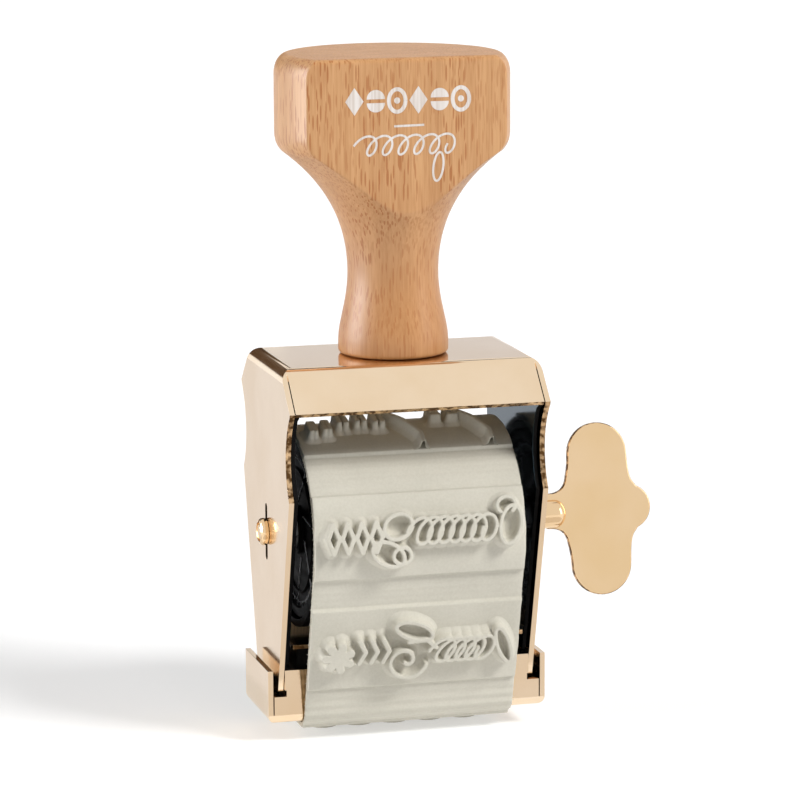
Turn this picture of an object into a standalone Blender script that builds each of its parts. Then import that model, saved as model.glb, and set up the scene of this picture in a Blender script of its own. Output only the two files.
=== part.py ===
"""Hand-held roller stamp: a folded sheet-metal frame under a turned wooden handle.

A key turns a drum inside the frame. An endless rubber band with six relief plates runs
over the drum and under a tray that carries the platen, so that one plate at a time faces
down. Lengths below are in millimetres and are scaled to metres where meshes are made.
+X runs along the drum's axle towards the key, -Y is the front, +Z is up, and the origin
is the middle of the printing face.
"""

import math

import bmesh
import bpy
from mathutils import Matrix, Vector

MM = 0.001
FIT_GAP = 0.3  # between pieces that rest on each other
RUN_GAP = 0.08  # round the turning axle

# Rubber band
BAND_HALF_WIDTH = 20.55
BAND_BACKING = 1.0
BELT_THICKNESS = 0.5
LAYER_GAP = 0.1
RELIEF = 1.8
RELIEF_HALF_WIDTH = 18.6
RELIEF_LENGTH = 11.0
PLATE_LENGTH = 17.3
PLATE_STARTS = (-8.65, 19.0, 42.3, 68.5, 96.5, 124.5)  # along the band from the middle of the base

# The band's outer path: a large arc on the drum, two small ones under the tray
AXLE_Z = 39.4
PATH_RADIUS = 20.5
FOOT_RADIUS = 5.0
FOOT_HALF_DEPTH = 7.1

# Frame
SHEET = 1.0
FRAME_HALF_WIDTH = 25.2
FRAME_TOP = 72.9
TOP_HALF_DEPTH = 12.65
FLAP_HALF_DEPTH = 20.2
FLAP_BOTTOM = 65.5
NOTCH_HALF_DEPTH = 18.9
NOTCH_BOTTOM = 48.6
NOTCH_DEPTH = 2.9
LEG_HALF_DEPTH = 8.4
LEG_BOTTOM = 10.1
TOP_BEND_RADIUS = 2.4
TRAY_BEND_RADIUS = 1.6
BEND_STEPS = 5
SEAM = 0.3
AXLE_SLOT_WIDTH = 1.7
AXLE_SLOT_LENGTH = 11.0

# Cheeks inside the frame
CHEEK = 0.8
CHEEK_BOTTOM = 15.0
CHEEK_WAIST_TOP = 64.0  # below this a cheek follows the side plate's notch, above it the flap
CHEEK_INSET = 1.2

# Base tray and platen
TRAY_HALF_WIDTH = 27.4
TRAY_HALF_DEPTH = 9.6
TRAY_BOTTOM = 3.85
TRAY_TOP = 14.3
TRAY_NOTCH_BOTTOM = 9.8
BLOCK_HALF_WIDTH = 21.3
BLOCK_HALF_DEPTH = 8.0
BLOCK_TOP = 18.2
COVER_HALF_WIDTH = 22.7
COVER_HALF_DEPTH = 10.5
COVER = 0.9
PLATEN_SCREW_X = 14.0
PLATEN_SCREW_RADIUS = 1.2
PLATEN_SCREW_HEAD = 2.3

# Drum and axle
DRUM_RADIUS = 18.6
DRUM_WALL = 1.5
DRUM_HALF_WIDTH = 20.2
WHEEL_OUTER = 19.6
WHEEL_THICKNESS = 3.2
WHEEL_RIM = 1.8
HUB_RADIUS = 4.6
WHEEL_WEB = 2.6
AXLE_RADIUS = 2.3
AXLE_END_RADIUS = 1.8
SHAFT_RADIUS = 2.8
SHAFT_END = 34.4
PIN_RADIUS = 0.8
PIN_HALF_LENGTH = 3.9
CLIP_RADIUS = 2.6
CLIP_LENGTH = 1.45
CLIP_SPLIT = 0.7

# Key plate
KEY_START = 30.4
KEY_CENTRE = 41.3
KEY_THICKNESS = 1.3
KEY_HALF_HEIGHT = 16.8
KEY_LOBE_RADIUS = 6.0
KEY_WAIST_HALF_WIDTH = 6.9
KEY_WAIST_HALF_HEIGHT = 4.9
KEY_EYE_RADIUS = 4.4
KEY_EYE_OFFSET = 6.0
KEY_RISE = 0.5
KEY_LEAN = 10.0  # degrees that its top leans back at rest

# Handle
HANDLE_BASE_RADIUS = 10.5
HANDLE_BASE_LENGTH = 2.4
HANDLE_WAIST_RADIUS = 8.65
HANDLE_WAIST_Z = 88.6
HANDLE_SHOULDER_RADIUS = 21.0
HANDLE_SHOULDER_Z = 111.9
HANDLE_HEAD_RADIUS = 22.3
HANDLE_HEAD_Z = 115.6
HANDLE_TOP = 130.1
HANDLE_TOP_ROUND = 2.5
HANDLE_TOP_DROP = 3.8
HANDLE_FLAT = 11.3
HANDLE_SCREW_X = 5.5
HANDLE_SCREW_RADIUS = 1.5
HANDLE_SCREW_LENGTH = 16.0
HANDLE_SCREW_HEAD = 2.9

COLOURS = {
    "gold": ((0.86, 0.62, 0.36), 0.12, 1.0),
    "beech": ((0.62, 0.36, 0.17), 0.5, 0.0),
    "rubber": ((0.58, 0.56, 0.47), 0.65, 0.0),
    "cloth": ((0.62, 0.58, 0.48), 0.9, 0.0),
    "black": ((0.012, 0.012, 0.013), 0.25, 0.0),
    "steel": ((0.55, 0.55, 0.56), 0.3, 1.0),
}


# ---------------------------------------------------------------- helpers


def clear_scene():
    for obj in list(bpy.data.objects):
        bpy.data.objects.remove(obj)


def material(name):
    """One Principled material for each finish."""
    found = bpy.data.materials.get(name)
    if found:
        return found
    colour, roughness, metallic = COLOURS[name]
    made = bpy.data.materials.new(name)
    made.use_nodes = True
    shader = made.node_tree.nodes["Principled BSDF"]
    shader.inputs["Base Color"].default_value = (*colour, 1.0)
    shader.inputs["Roughness"].default_value = roughness
    shader.inputs["Metallic"].default_value = metallic
    return made


def new_object(name, mesh_data, finish=None, parent=None):
    """Puts a bmesh, in millimetres, into the scene as an object in metres."""
    bmesh.ops.recalc_face_normals(mesh_data, faces=mesh_data.faces)
    bmesh.ops.scale(mesh_data, vec=(MM, MM, MM), verts=mesh_data.verts)
    mesh = bpy.data.meshes.new(name)
    mesh_data.to_mesh(mesh)
    mesh_data.free()
    mesh.shade_smooth()
    mesh.set_sharp_from_angle(angle=math.radians(35))
    obj = bpy.data.objects.new(name, mesh)
    bpy.context.scene.collection.objects.link(obj)
    if finish:
        mesh.materials.append(material(finish))
    if parent:
        obj.parent = parent
    return obj


def axis_point(axis, u, v, along):
    """The point (u, v) of an outline, at a place along the axis that it is pushed along."""
    return {"X": (along, u, v), "Y": (u, along, v), "Z": (u, v, along)}[axis]


def prism(name, outline, axis, low, high, finish=None, parent=None):
    """A closed outline pushed along an axis from low to high."""
    made = bmesh.new()
    near = [made.verts.new(axis_point(axis, u, v, low)) for u, v in outline]
    far = [made.verts.new(axis_point(axis, u, v, high)) for u, v in outline]
    made.faces.new(near)
    made.faces.new(far)
    for i in range(len(outline)):
        j = (i + 1) % len(outline)
        made.faces.new((near[i], near[j], far[j], far[i]))
    return new_object(name, made, finish, parent)


def box(name, low, high, finish=None, parent=None):
    """A block between two corners."""
    outline = ((low[0], low[1]), (high[0], low[1]), (high[0], high[1]), (low[0], high[1]))
    return prism(name, outline, "Z", low[2], high[2], finish, parent)


def turned(name, profile, axis, segments=40, hollow=False, finish=None, parent=None):
    """A profile of (radius, along) points turned about an axis. A hollow one joins its ends."""
    made = bmesh.new()
    rings = []
    for radius, along in profile:
        count = 1 if radius == 0 else segments
        angles = (2 * math.pi * i / segments for i in range(count))
        points = ((radius * math.cos(a), radius * math.sin(a)) for a in angles)
        rings.append([made.verts.new(axis_point(axis, u, v, along)) for u, v in points])
    pairs = list(zip(rings, rings[1:]))
    if hollow:
        pairs.append((rings[-1], rings[0]))
    for first, second in pairs:
        for i in range(segments):
            j = (i + 1) % segments
            corners = [
                first[i % len(first)],
                first[j % len(first)],
                second[j % len(second)],
                second[i % len(second)],
            ]
            made.faces.new(dict.fromkeys(corners))
    if not hollow:
        for ring in (rings[0], rings[-1]):
            if len(ring) > 1:
                made.faces.new(ring)
    return new_object(name, made, finish, parent)


def combine(target, operation, tools):
    """Boolean of the target with helper objects, which stay in the scene as hidden wires."""
    for tool in tools:
        modifier = target.modifiers.new(tool.name, "BOOLEAN")
        modifier.operation = operation
        modifier.object = tool
        tool.hide_render = True
        tool.display_type = "WIRE"
    return target


def cut(target, *tools):
    return combine(target, "DIFFERENCE", tools)


def weld(target, *tools):
    return combine(target, "UNION", tools)


def bezier(p0, p1, p2, p3, steps):
    """Points of a cubic curve, with its first point left out."""
    points = []
    for k in range(1, steps + 1):
        t = k / steps
        weights = ((1 - t) ** 3, 3 * t * (1 - t) ** 2, 3 * t * t * (1 - t), t**3)
        knots = (p0, p1, p2, p3)
        points.append(tuple(sum(w * p[i] for w, p in zip(weights, knots)) for i in (0, 1)))
    return points


def bowed(start, end, depth, steps):
    """Points of an arc between two points, bulging by depth to the left of its direction."""
    a, b = Vector(start), Vector(end)
    half = (b - a).length / 2
    radius = (half * half + depth * depth) / (2 * abs(depth))
    side = Vector((a.y - b.y, b.x - a.x)).normalized() * math.copysign(1, depth)
    centre = (a + b) / 2 - side * (radius - abs(depth))
    turn = (a - centre).angle_signed(b - centre)
    arms = (Matrix.Rotation(-turn * k / steps, 2) @ (a - centre) for k in range(steps + 1))
    return [tuple(centre + arm) for arm in arms]


def bend_cut(name, corner, inward, axis, radius):
    """Cutter that rounds an outside edge of folded sheet. Inward gives the signs towards it."""
    (u, v), (du, dv) = corner, inward
    outline = [(u, v + dv * radius), (u - du, v + dv * radius), (u - du, v - dv)]
    outline.append((u + du * radius, v - dv))
    for k in range(BEND_STEPS):
        angle = math.radians(90 * k / BEND_STEPS)
        outline.append(
            (
                u + du * radius * (1 - math.sin(angle)),
                v + dv * radius * (1 - math.cos(angle)),
            )
        )
    return prism(name, outline, axis, -30, 30)


def mirrored(points):
    """The outline's other half, with u turned round, in the order that closes it."""
    return [(-u, v) for u, v in reversed(points)]


# ---------------------------------------------------------------- rubber band


def band_stretches():
    """The outer path from the middle of the base, up the front, over the drum and down.

    Each stretch is (length, function from distance to point and outward normal).
    """
    foot_z = RELIEF + FOOT_RADIUS
    reach = Vector((FOOT_HALF_DEPTH, AXLE_Z - foot_z))
    lean = math.atan2(reach.x, reach.y)
    lean = math.asin((PATH_RADIUS - FOOT_RADIUS) / reach.length) - lean
    side = math.sqrt(reach.length**2 - (PATH_RADIUS - FOOT_RADIUS) ** 2)
    foot_turn = math.pi / 2 - lean

    def flat(start, end):
        def at(s):
            return Vector((start + math.copysign(s, end - start), RELIEF)), Vector((0, -1))

        return abs(end - start), at

    def arc(y, z, radius, first, turn):
        def at(s):
            angle = first + s / radius
            normal = Vector((-math.sin(angle), -math.cos(angle)))
            return Vector((y, z)) + normal * radius, normal

        return radius * turn, at

    def line(y, z, radius, angle, length):
        normal = Vector((-math.sin(angle), -math.cos(angle)))
        ahead = Vector((-math.cos(angle), math.sin(angle)))

        def at(s):
            return Vector((y, z)) + normal * radius + ahead * s, normal

        return length, at

    over = math.pi + 2 * lean
    return [
        flat(0, -FOOT_HALF_DEPTH),
        arc(-FOOT_HALF_DEPTH, foot_z, FOOT_RADIUS, 0, foot_turn),
        line(-FOOT_HALF_DEPTH, foot_z, FOOT_RADIUS, foot_turn, side),
        arc(0, AXLE_Z, PATH_RADIUS, foot_turn, over),
        line(0, AXLE_Z, PATH_RADIUS, foot_turn + over, side),
        arc(FOOT_HALF_DEPTH, foot_z, FOOT_RADIUS, foot_turn + over, foot_turn),
        flat(FOOT_HALF_DEPTH, 0),
    ]


def on_band(distance):
    """Point and outward normal at a distance along the band's outer path."""
    stretches = band_stretches()
    distance %= sum(length for length, _ in stretches)
    for length, at in stretches:
        if distance <= length:
            return at(distance)
        distance -= length
    return stretches[0][1](0)


def band_stations():
    """Distances at which the whole loop is sampled: close on arcs, only the ends on flats."""
    stations = []
    start = 0
    for number, (length, _) in enumerate(band_stretches()):
        pieces = {1: 5, 5: 5, 3: 28}.get(number, 1)
        stations += [start + length * k / pieces for k in range(pieces)]
        start += length
    return stations


def loop_outline(offset):
    """The band's path moved outwards by an offset, as (y, z) points."""
    placed = (on_band(s) for s in band_stations())
    return [tuple(point + normal * offset) for point, normal in placed]


def loop_tube(name, outer, inner, half_width, finish):
    """An endless flat band between two offsets of the path."""
    outside = loop_outline(outer)
    inside = loop_outline(inner)
    made = bmesh.new()
    rings = []
    for outline, x in (
        (outside, -half_width),
        (outside, half_width),
        (inside, half_width),
        (inside, -half_width),
    ):
        rings.append([made.verts.new((x, y, z)) for y, z in outline])
    for first, second in zip(rings, rings[1:] + rings[:1]):
        for i in range(len(outside)):
            j = (i + 1) % len(outside)
            made.faces.new((first[i], first[j], second[j], second[i]))
    return new_object(name, made, finish)


def relief_pad(number):
    """The raised block that carries one plate's design."""
    middle = PLATE_STARTS[number] + PLATE_LENGTH / 2
    steps = 1 if number == 0 else 6
    stations = [
        middle - RELIEF_LENGTH / 2 + RELIEF_LENGTH * k / steps for k in range(steps + 1)
    ]
    placed = [on_band(s) for s in stations]
    top = [tuple(point + normal * RELIEF) for point, normal in placed]
    root = [tuple(point - normal * BAND_BACKING / 2) for point, normal in placed]
    outline = top + root[::-1]
    return prism(f"pad_{number}", outline, "X", -RELIEF_HALF_WIDTH, RELIEF_HALF_WIDTH)


def rubber_band():
    band = loop_tube("rubber_band", 0, -BAND_BACKING, BAND_HALF_WIDTH, "rubber")
    weld(band, *(relief_pad(number) for number in range(len(PLATE_STARTS))))


def carrier_belt():
    outer = -BAND_BACKING - LAYER_GAP
    loop_tube("carrier_belt", outer, outer - BELT_THICKNESS, BAND_HALF_WIDTH - 0.1, "cloth")


# ---------------------------------------------------------------- frame


def side_outline():
    """Outline of a side plate, seen along X: front edge, foot, then the rear edge."""
    notch = bowed(
        (-FLAP_HALF_DEPTH + 0.2, FLAP_BOTTOM - 0.6),
        (-NOTCH_HALF_DEPTH, NOTCH_BOTTOM),
        NOTCH_DEPTH,
        8,
    )
    front = [(-TOP_HALF_DEPTH, FRAME_TOP), (-FLAP_HALF_DEPTH, FLAP_BOTTOM), *notch]
    front.append((-LEG_HALF_DEPTH, LEG_BOTTOM))
    return front + mirrored(front)


def flap_line(inset, overrun=0):
    """The front flap's top and bottom points, moved inwards by inset and run on below it."""
    top = Vector((-TOP_HALF_DEPTH, FRAME_TOP))
    bottom = Vector((-FLAP_HALF_DEPTH, FLAP_BOTTOM))
    along = (bottom - top).normalized()
    inward = Vector((-along.y, along.x))
    ceiling = FRAME_TOP - inset
    foot = bottom + inward * inset
    head = foot - along * ((ceiling - foot.y) / -along.y)
    return tuple(head), tuple(foot + along * overrun)


def frame_shell():
    frame = prism(
        "frame_shell", side_outline(), "X", -FRAME_HALF_WIDTH, FRAME_HALF_WIDTH, "gold"
    )
    head, foot = flap_line(SHEET, -0.05)
    past = Vector(foot) + (Vector(flap_line(0, -0.05)[1]) - Vector(foot)) * 8
    inside = [head, foot, tuple(past), (-30, 0)]
    hollow_width = FRAME_HALF_WIDTH - SHEET
    hollow = prism("frame_hollow", inside + mirrored(inside), "X", -hollow_width, hollow_width)
    bends = []
    for side in (-1, 1):
        edge = (side * FRAME_HALF_WIDTH, FRAME_TOP)
        bends.append(bend_cut(f"bend_cut_{side}", edge, (-side, -1), "Y", TOP_BEND_RADIUS))
    seams = []
    for side in (-1, 1):
        low, high = sorted((side * hollow_width, side * (hollow_width - SEAM)))
        for face in (-1, 1):
            outline = (
                (face * (TOP_HALF_DEPTH + 0.6), FRAME_TOP + 1),
                (face * 30, FRAME_TOP + 1),
                (face * 30, FLAP_BOTTOM - 3),
                (face * (TOP_HALF_DEPTH + 0.6), FLAP_BOTTOM - 3),
            )
            seams.append(prism(f"seam_cut_{side}_{face}", outline, "X", low, high))
    left_hole = turned(
        "left_axle_hole",
        ((AXLE_END_RADIUS + RUN_GAP, -30), (AXLE_END_RADIUS + RUN_GAP, -20)),
        "X",
        32,
    )
    right_hole = turned(
        "right_axle_hole",
        ((SHAFT_RADIUS + RUN_GAP, 20), (SHAFT_RADIUS + RUN_GAP, 30)),
        "X",
        32,
    )
    for hole in (left_hole, right_hole):
        hole.location.z = AXLE_Z * MM
    slot = box(
        "left_axle_slot",
        (-30, -AXLE_SLOT_WIDTH / 2, AXLE_Z - AXLE_SLOT_LENGTH / 2),
        (-20, AXLE_SLOT_WIDTH / 2, AXLE_Z + AXLE_SLOT_LENGTH / 2),
    )
    screw_holes = []
    for side in (-1, 1):
        radius = HANDLE_SCREW_RADIUS + FIT_GAP
        hole = turned(f"top_hole_{side}", ((radius, 65), (radius, 80)), "Z", 24)
        hole.location.x = side * HANDLE_SCREW_X * MM
        screw_holes.append(hole)
    cut(frame, hollow, *bends, *seams, left_hole, right_hole, slot, *screw_holes)


def cheek(name, side):
    """Black liner on the inner face of a side plate."""
    front = list(flap_line(SHEET + FIT_GAP))
    for y, z in side_outline():
        if y < 0 and CHEEK_BOTTOM < z < CHEEK_WAIST_TOP:
            front.append((y * (1 - CHEEK_INSET / FLAP_HALF_DEPTH), z))
    slope = (NOTCH_HALF_DEPTH - LEG_HALF_DEPTH) / (NOTCH_BOTTOM - LEG_BOTTOM)
    foot = NOTCH_HALF_DEPTH - (NOTCH_BOTTOM - CHEEK_BOTTOM) * slope - CHEEK_INSET
    front.append((-foot, CHEEK_BOTTOM))
    outline = front + mirrored(front)
    outer = side * (FRAME_HALF_WIDTH - SHEET - FIT_GAP)
    low, high = sorted((outer, outer - side * CHEEK))
    plate = prism(name, outline, "X", low, high, "black")
    radius = (AXLE_RADIUS if side < 0 else SHAFT_RADIUS) + FIT_GAP
    hole = turned(f"{name}_hole", ((radius, low - 1), (radius, high + 1)), "X", 32)
    hole.location.z = AXLE_Z * MM
    cut(plate, hole)


# ---------------------------------------------------------------- base


def base_tray():
    tray = box(
        "base_tray",
        (-TRAY_HALF_WIDTH, -TRAY_HALF_DEPTH, TRAY_BOTTOM),
        (TRAY_HALF_WIDTH, TRAY_HALF_DEPTH, TRAY_TOP),
        "gold",
    )
    inner_width = TRAY_HALF_WIDTH - SHEET
    inner_depth = TRAY_HALF_DEPTH - SHEET
    hollow = box(
        "tray_hollow",
        (-inner_width, -inner_depth, TRAY_BOTTOM + SHEET),
        (inner_width, inner_depth, TRAY_TOP + 5),
    )
    cuts = []
    for side in (-1, 1):
        for axis, half in (("Y", TRAY_HALF_WIDTH), ("X", TRAY_HALF_DEPTH)):
            edge = (side * half, TRAY_BOTTOM)
            name = f"tray_bend_{axis}_{side}"
            cuts.append(bend_cut(name, edge, (-side, 1), axis, TRAY_BEND_RADIUS))
        for face in (-1, 1):
            wall = sorted((face * (inner_depth - 0.5), face * (TRAY_HALF_DEPTH + 2)))
            seam = sorted((side * inner_width, side * (inner_width - SEAM)))
            notch_in = FRAME_HALF_WIDTH - SHEET - FIT_GAP
            notch = sorted((side * inner_width, side * notch_in))
            for name, across, bottom in (
                ("tray_seam", seam, TRAY_BOTTOM + TRAY_BEND_RADIUS),
                ("tray_notch", notch, TRAY_NOTCH_BOTTOM),
            ):
                cuts.append(
                    box(
                        f"{name}_{side}_{face}",
                        (across[0], wall[0], bottom),
                        (across[1], wall[1], TRAY_TOP + 5),
                    )
                )
        cuts.append(platen_hole("tray_screw_hole", side, 0, TRAY_BOTTOM + 5))
    cut(tray, hollow, *cuts)


def platen_hole(name, side, low, high):
    """Clearance hole for one of the two platen screws."""
    radius = PLATEN_SCREW_RADIUS + FIT_GAP
    hole = turned(f"{name}_{side}", ((radius, low), (radius, high)), "Z", 20)
    hole.location.x = side * PLATEN_SCREW_X * MM
    return hole


def platen():
    """Block inside the band, with a plate on top and two screws down into the tray."""
    block_bottom = TRAY_BOTTOM + SHEET + FIT_GAP
    block = box(
        "platen_block",
        (-BLOCK_HALF_WIDTH, -BLOCK_HALF_DEPTH, block_bottom),
        (BLOCK_HALF_WIDTH, BLOCK_HALF_DEPTH, BLOCK_TOP),
        "black",
    )
    cut(block, *(platen_hole("block_hole", side, 0, 30) for side in (-1, 1)))
    cover_bottom = BLOCK_TOP + FIT_GAP
    cover = box(
        "platen_cover",
        (-COVER_HALF_WIDTH, -COVER_HALF_DEPTH, cover_bottom),
        (COVER_HALF_WIDTH, COVER_HALF_DEPTH, cover_bottom + COVER),
        "gold",
    )
    cut(cover, *(platen_hole("cover_hole", side, 10, 30) for side in (-1, 1)))
    head_bottom = cover_bottom + COVER + 0.1
    for side, name in ((-1, "platen_screw_left"), (1, "platen_screw_right")):
        profile = (
            (PLATEN_SCREW_RADIUS, TRAY_BOTTOM + 0.2),
            (PLATEN_SCREW_RADIUS, head_bottom),
            (PLATEN_SCREW_HEAD, head_bottom),
            (PLATEN_SCREW_HEAD, head_bottom + 0.5),
            (PLATEN_SCREW_HEAD - 0.5, head_bottom + 0.85),
        )
        screw = turned(name, profile, "Z", 20, finish="steel")
        screw.location.x = side * PLATEN_SCREW_X * MM
        slot = box(
            f"{name}_slot",
            (-3, -0.3, head_bottom + 0.35),
            (3, 0.3, head_bottom + 2),
        )
        slot.location.x = screw.location.x
        cut(screw, slot)


# ---------------------------------------------------------------- drum


def drum_wheel(name, side, axis):
    """Dished wheel pressed into one end of the drum's sleeve."""
    rim = DRUM_RADIUS - DRUM_WALL - FIT_GAP
    bore = AXLE_RADIUS + FIT_GAP
    inner, outer = side * (WHEEL_OUTER - WHEEL_THICKNESS), side * WHEEL_OUTER
    web = inner + side * WHEEL_WEB
    profile = (
        (bore, inner),
        (rim, inner),
        (rim, outer),
        (rim - WHEEL_RIM, outer),
        (rim - WHEEL_RIM, web),
        (HUB_RADIUS, web),
        (HUB_RADIUS, outer),
        (bore, outer),
    )
    wheel = turned(name, profile, "X", 48, hollow=True, finish="black", parent=axis)
    middle = (inner + outer) / 2
    reach = HUB_RADIUS + 0.1
    profile = ((PIN_RADIUS + FIT_GAP, -reach), (PIN_RADIUS + FIT_GAP, reach))
    pin_way = turned(f"{name}_pin_way", profile, "Z", 16, parent=axis)
    pin_way.location.x = middle * MM
    cut(wheel, pin_way)
    return middle


def drive_pin(name, middle, axis):
    """Cross pin that makes a wheel turn with the axle."""
    profile = ((PIN_RADIUS, -PIN_HALF_LENGTH), (PIN_RADIUS, PIN_HALF_LENGTH))
    pin = turned(name, profile, "Z", 16, finish="steel", parent=axis)
    pin.location.x = middle * MM


def spacer(name, side, axis):
    """Sleeve that keeps the drum clear of a cheek."""
    inner_face = FRAME_HALF_WIDTH - SHEET - FIT_GAP - CHEEK - FIT_GAP
    low, high = sorted((side * (WHEEL_OUTER + FIT_GAP), side * inner_face))
    bore = AXLE_RADIUS + FIT_GAP
    ring = ((bore, low), (4.0, low), (4.0, high), (bore, high))
    turned(name, ring, "X", 28, hollow=True, finish="steel", parent=axis)


def axle(pin_places, axis):
    """Rod from the split clip on the left to the slotted end that holds the key."""
    left_end = -FRAME_HALF_WIDTH - CLIP_LENGTH
    step = -(FRAME_HALF_WIDTH - SHEET - FIT_GAP) + 0.1
    shaft_start = FRAME_HALF_WIDTH - SHEET - FIT_GAP - CHEEK - FIT_GAP / 2
    profile = (
        (AXLE_END_RADIUS - 0.4, left_end),
        (AXLE_END_RADIUS, left_end + 0.4),
        (AXLE_END_RADIUS, step),
        (AXLE_RADIUS, step),
        (AXLE_RADIUS, shaft_start),
        (SHAFT_RADIUS, shaft_start),
        (SHAFT_RADIUS, SHAFT_END - 1.4),
        (SHAFT_RADIUS - 0.4, SHAFT_END - 0.4),
        (SHAFT_RADIUS - 1.4, SHAFT_END),
    )
    rod = turned("axle", profile, "X", 32, finish="gold", parent=axis)
    half = KEY_THICKNESS / 2 + 0.1
    slot = box(
        "key_slot", (KEY_START - FIT_GAP, -half, -5), (SHAFT_END + 2, half, 5), parent=axis
    )
    slot.rotation_euler.x = -math.radians(KEY_LEAN)
    cuts = [slot]
    for number, place in enumerate(pin_places):
        radius = PIN_RADIUS + 0.1
        hole = turned(f"pin_hole_{number}", ((radius, -5), (radius, 5)), "Z", 16, parent=axis)
        hole.location.x = place * MM
        cuts.append(hole)
    cut(rod, *cuts)


def axle_clip(axis):
    """Barrel-shaped split clip on the axle's left end."""
    high = -FRAME_HALF_WIDTH - RUN_GAP
    low = high - CLIP_LENGTH
    bore = AXLE_END_RADIUS + 0.08
    profile = (
        (bore, high),
        (CLIP_RADIUS - 0.2, high),
        (CLIP_RADIUS, high - 0.3),
        (CLIP_RADIUS, low + 0.6),
        (CLIP_RADIUS - 0.5, low),
        (bore, low),
    )
    clip = turned("axle_clip", profile, "X", 32, hollow=True, finish="gold", parent=axis)
    split = box(
        "clip_split", (low - 1, -CLIP_SPLIT / 2, 0), (high + 1, CLIP_SPLIT / 2, 5), parent=axis
    )
    cut(clip, split)


def key_outline():
    """Clover-shaped key plate with a neck towards the frame, as (x, z) points."""
    lobe = KEY_HALF_HEIGHT - KEY_LOBE_RADIUS
    neck_x = KEY_CENTRE - KEY_WAIST_HALF_WIDTH
    eye_x = KEY_CENTRE + KEY_EYE_OFFSET
    upper = [(KEY_START, 3.4), (neck_x - 0.6, 4.3), (neck_x, 4.9)]
    for k in range(13):
        angle = math.radians(172 - 164 * k / 12)
        upper.append(
            (
                KEY_CENTRE + KEY_LOBE_RADIUS * math.cos(angle),
                lobe + KEY_LOBE_RADIUS * math.sin(angle),
            )
        )
    upper.append((KEY_CENTRE + KEY_WAIST_HALF_WIDTH - 0.3, KEY_WAIST_HALF_HEIGHT + 0.6))
    upper.append((KEY_CENTRE + KEY_WAIST_HALF_WIDTH + 0.3, KEY_WAIST_HALF_HEIGHT - 0.5))
    for k in range(7):
        angle = math.radians(60 - 60 * k / 6)
        upper.append(
            (eye_x + KEY_EYE_RADIUS * math.cos(angle), KEY_EYE_RADIUS * math.sin(angle))
        )
    lower = [(u, -v) for u, v in reversed(upper[:-1])]
    return [(u, v + KEY_RISE) for u, v in upper + lower]


def key_plate(axis):
    half = KEY_THICKNESS / 2
    plate = prism("key_plate", key_outline(), "Y", -half, half, "gold", axis)
    plate.rotation_euler.x = -math.radians(KEY_LEAN)


def drum_assembly():
    axis = bpy.data.objects.new("drum_axis", None)
    bpy.context.scene.collection.objects.link(axis)
    axis.location.z = AXLE_Z * MM
    inner = DRUM_RADIUS - DRUM_WALL
    sleeve = (
        (inner, -DRUM_HALF_WIDTH),
        (DRUM_RADIUS, -DRUM_HALF_WIDTH),
        (DRUM_RADIUS, DRUM_HALF_WIDTH),
        (inner, DRUM_HALF_WIDTH),
    )
    turned("drum_sleeve", sleeve, "X", 48, hollow=True, finish="black", parent=axis)
    places = [
        drum_wheel("drum_wheel_left", -1, axis),
        drum_wheel("drum_wheel_right", 1, axis),
    ]
    drive_pin("drive_pin_left", places[0], axis)
    drive_pin("drive_pin_right", places[1], axis)
    spacer("spacer_left", -1, axis)
    spacer("spacer_right", 1, axis)
    axle(places, axis)
    axle_clip(axis)
    key_plate(axis)


# ---------------------------------------------------------------- handle


def handle_profile():
    """Half section of the turned handle, as (radius, z) from its base up."""
    base = FRAME_TOP + FIT_GAP / 2
    start = (HANDLE_BASE_RADIUS, base + HANDLE_BASE_LENGTH)
    waist = (HANDLE_WAIST_RADIUS, HANDLE_WAIST_Z)
    shoulder = (HANDLE_SHOULDER_RADIUS, HANDLE_SHOULDER_Z)
    head = (HANDLE_HEAD_RADIUS, HANDLE_HEAD_Z)
    profile = [(HANDLE_BASE_RADIUS - 0.3, base), (HANDLE_BASE_RADIUS, base + 0.3), start]
    profile += bezier(start, (start[0], 79.0), (waist[0], 83.0), waist, 6)
    profile += bezier(waist, (waist[0], 97.5), (12.2, 105.3), shoulder, 10)
    profile += bezier(shoulder, (21.9, 112.8), (head[0], 113.9), head, 4)
    for k in range(5):
        angle = math.radians(90 * k / 4)
        profile.append(
            (
                HANDLE_HEAD_RADIUS - HANDLE_TOP_ROUND * (1 - math.cos(angle)),
                HANDLE_TOP - HANDLE_TOP_DROP * (1 - math.sin(angle)),
            )
        )
    return profile


def handle():
    body = turned("handle", handle_profile(), "Z", 48, finish="beech")
    front = box("handle_front_cut", (-30, -40, 74), (30, -HANDLE_FLAT, 140))
    holes = []
    head_bottom = FRAME_TOP - SHEET
    for side, name in ((-1, "handle_screw_left"), (1, "handle_screw_right")):
        radius = HANDLE_SCREW_RADIUS
        top = FRAME_TOP + HANDLE_SCREW_LENGTH
        profile = (
            (HANDLE_SCREW_HEAD - 0.6, head_bottom - 1.9),
            (HANDLE_SCREW_HEAD, head_bottom - 1.2),
            (HANDLE_SCREW_HEAD, head_bottom - 0.2),
            (radius, head_bottom - 0.2),
            (radius, top - 2.5),
            (0, top),
        )
        screw = turned(name, profile, "Z", 20, finish="steel")
        screw.location.x = side * HANDLE_SCREW_X * MM
        bore = radius + 0.2
        hole = turned(f"{name}_pilot", ((bore, 60), (bore, top + 0.5)), "Z", 20)
        hole.location.x = screw.location.x
        holes.append(hole)
        slot = box(f"{name}_slot", (-4, -0.4, head_bottom - 3), (4, 0.4, head_bottom - 1.2))
        slot.location.x = screw.location.x
        cut(screw, slot)
    cut(body, front, *holes)


def main():
    clear_scene()
    frame_shell()
    cheek("cheek_left", -1)
    cheek("cheek_right", 1)
    base_tray()
    platen()
    rubber_band()
    carrier_belt()
    drum_assembly()
    handle()


main()
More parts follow.
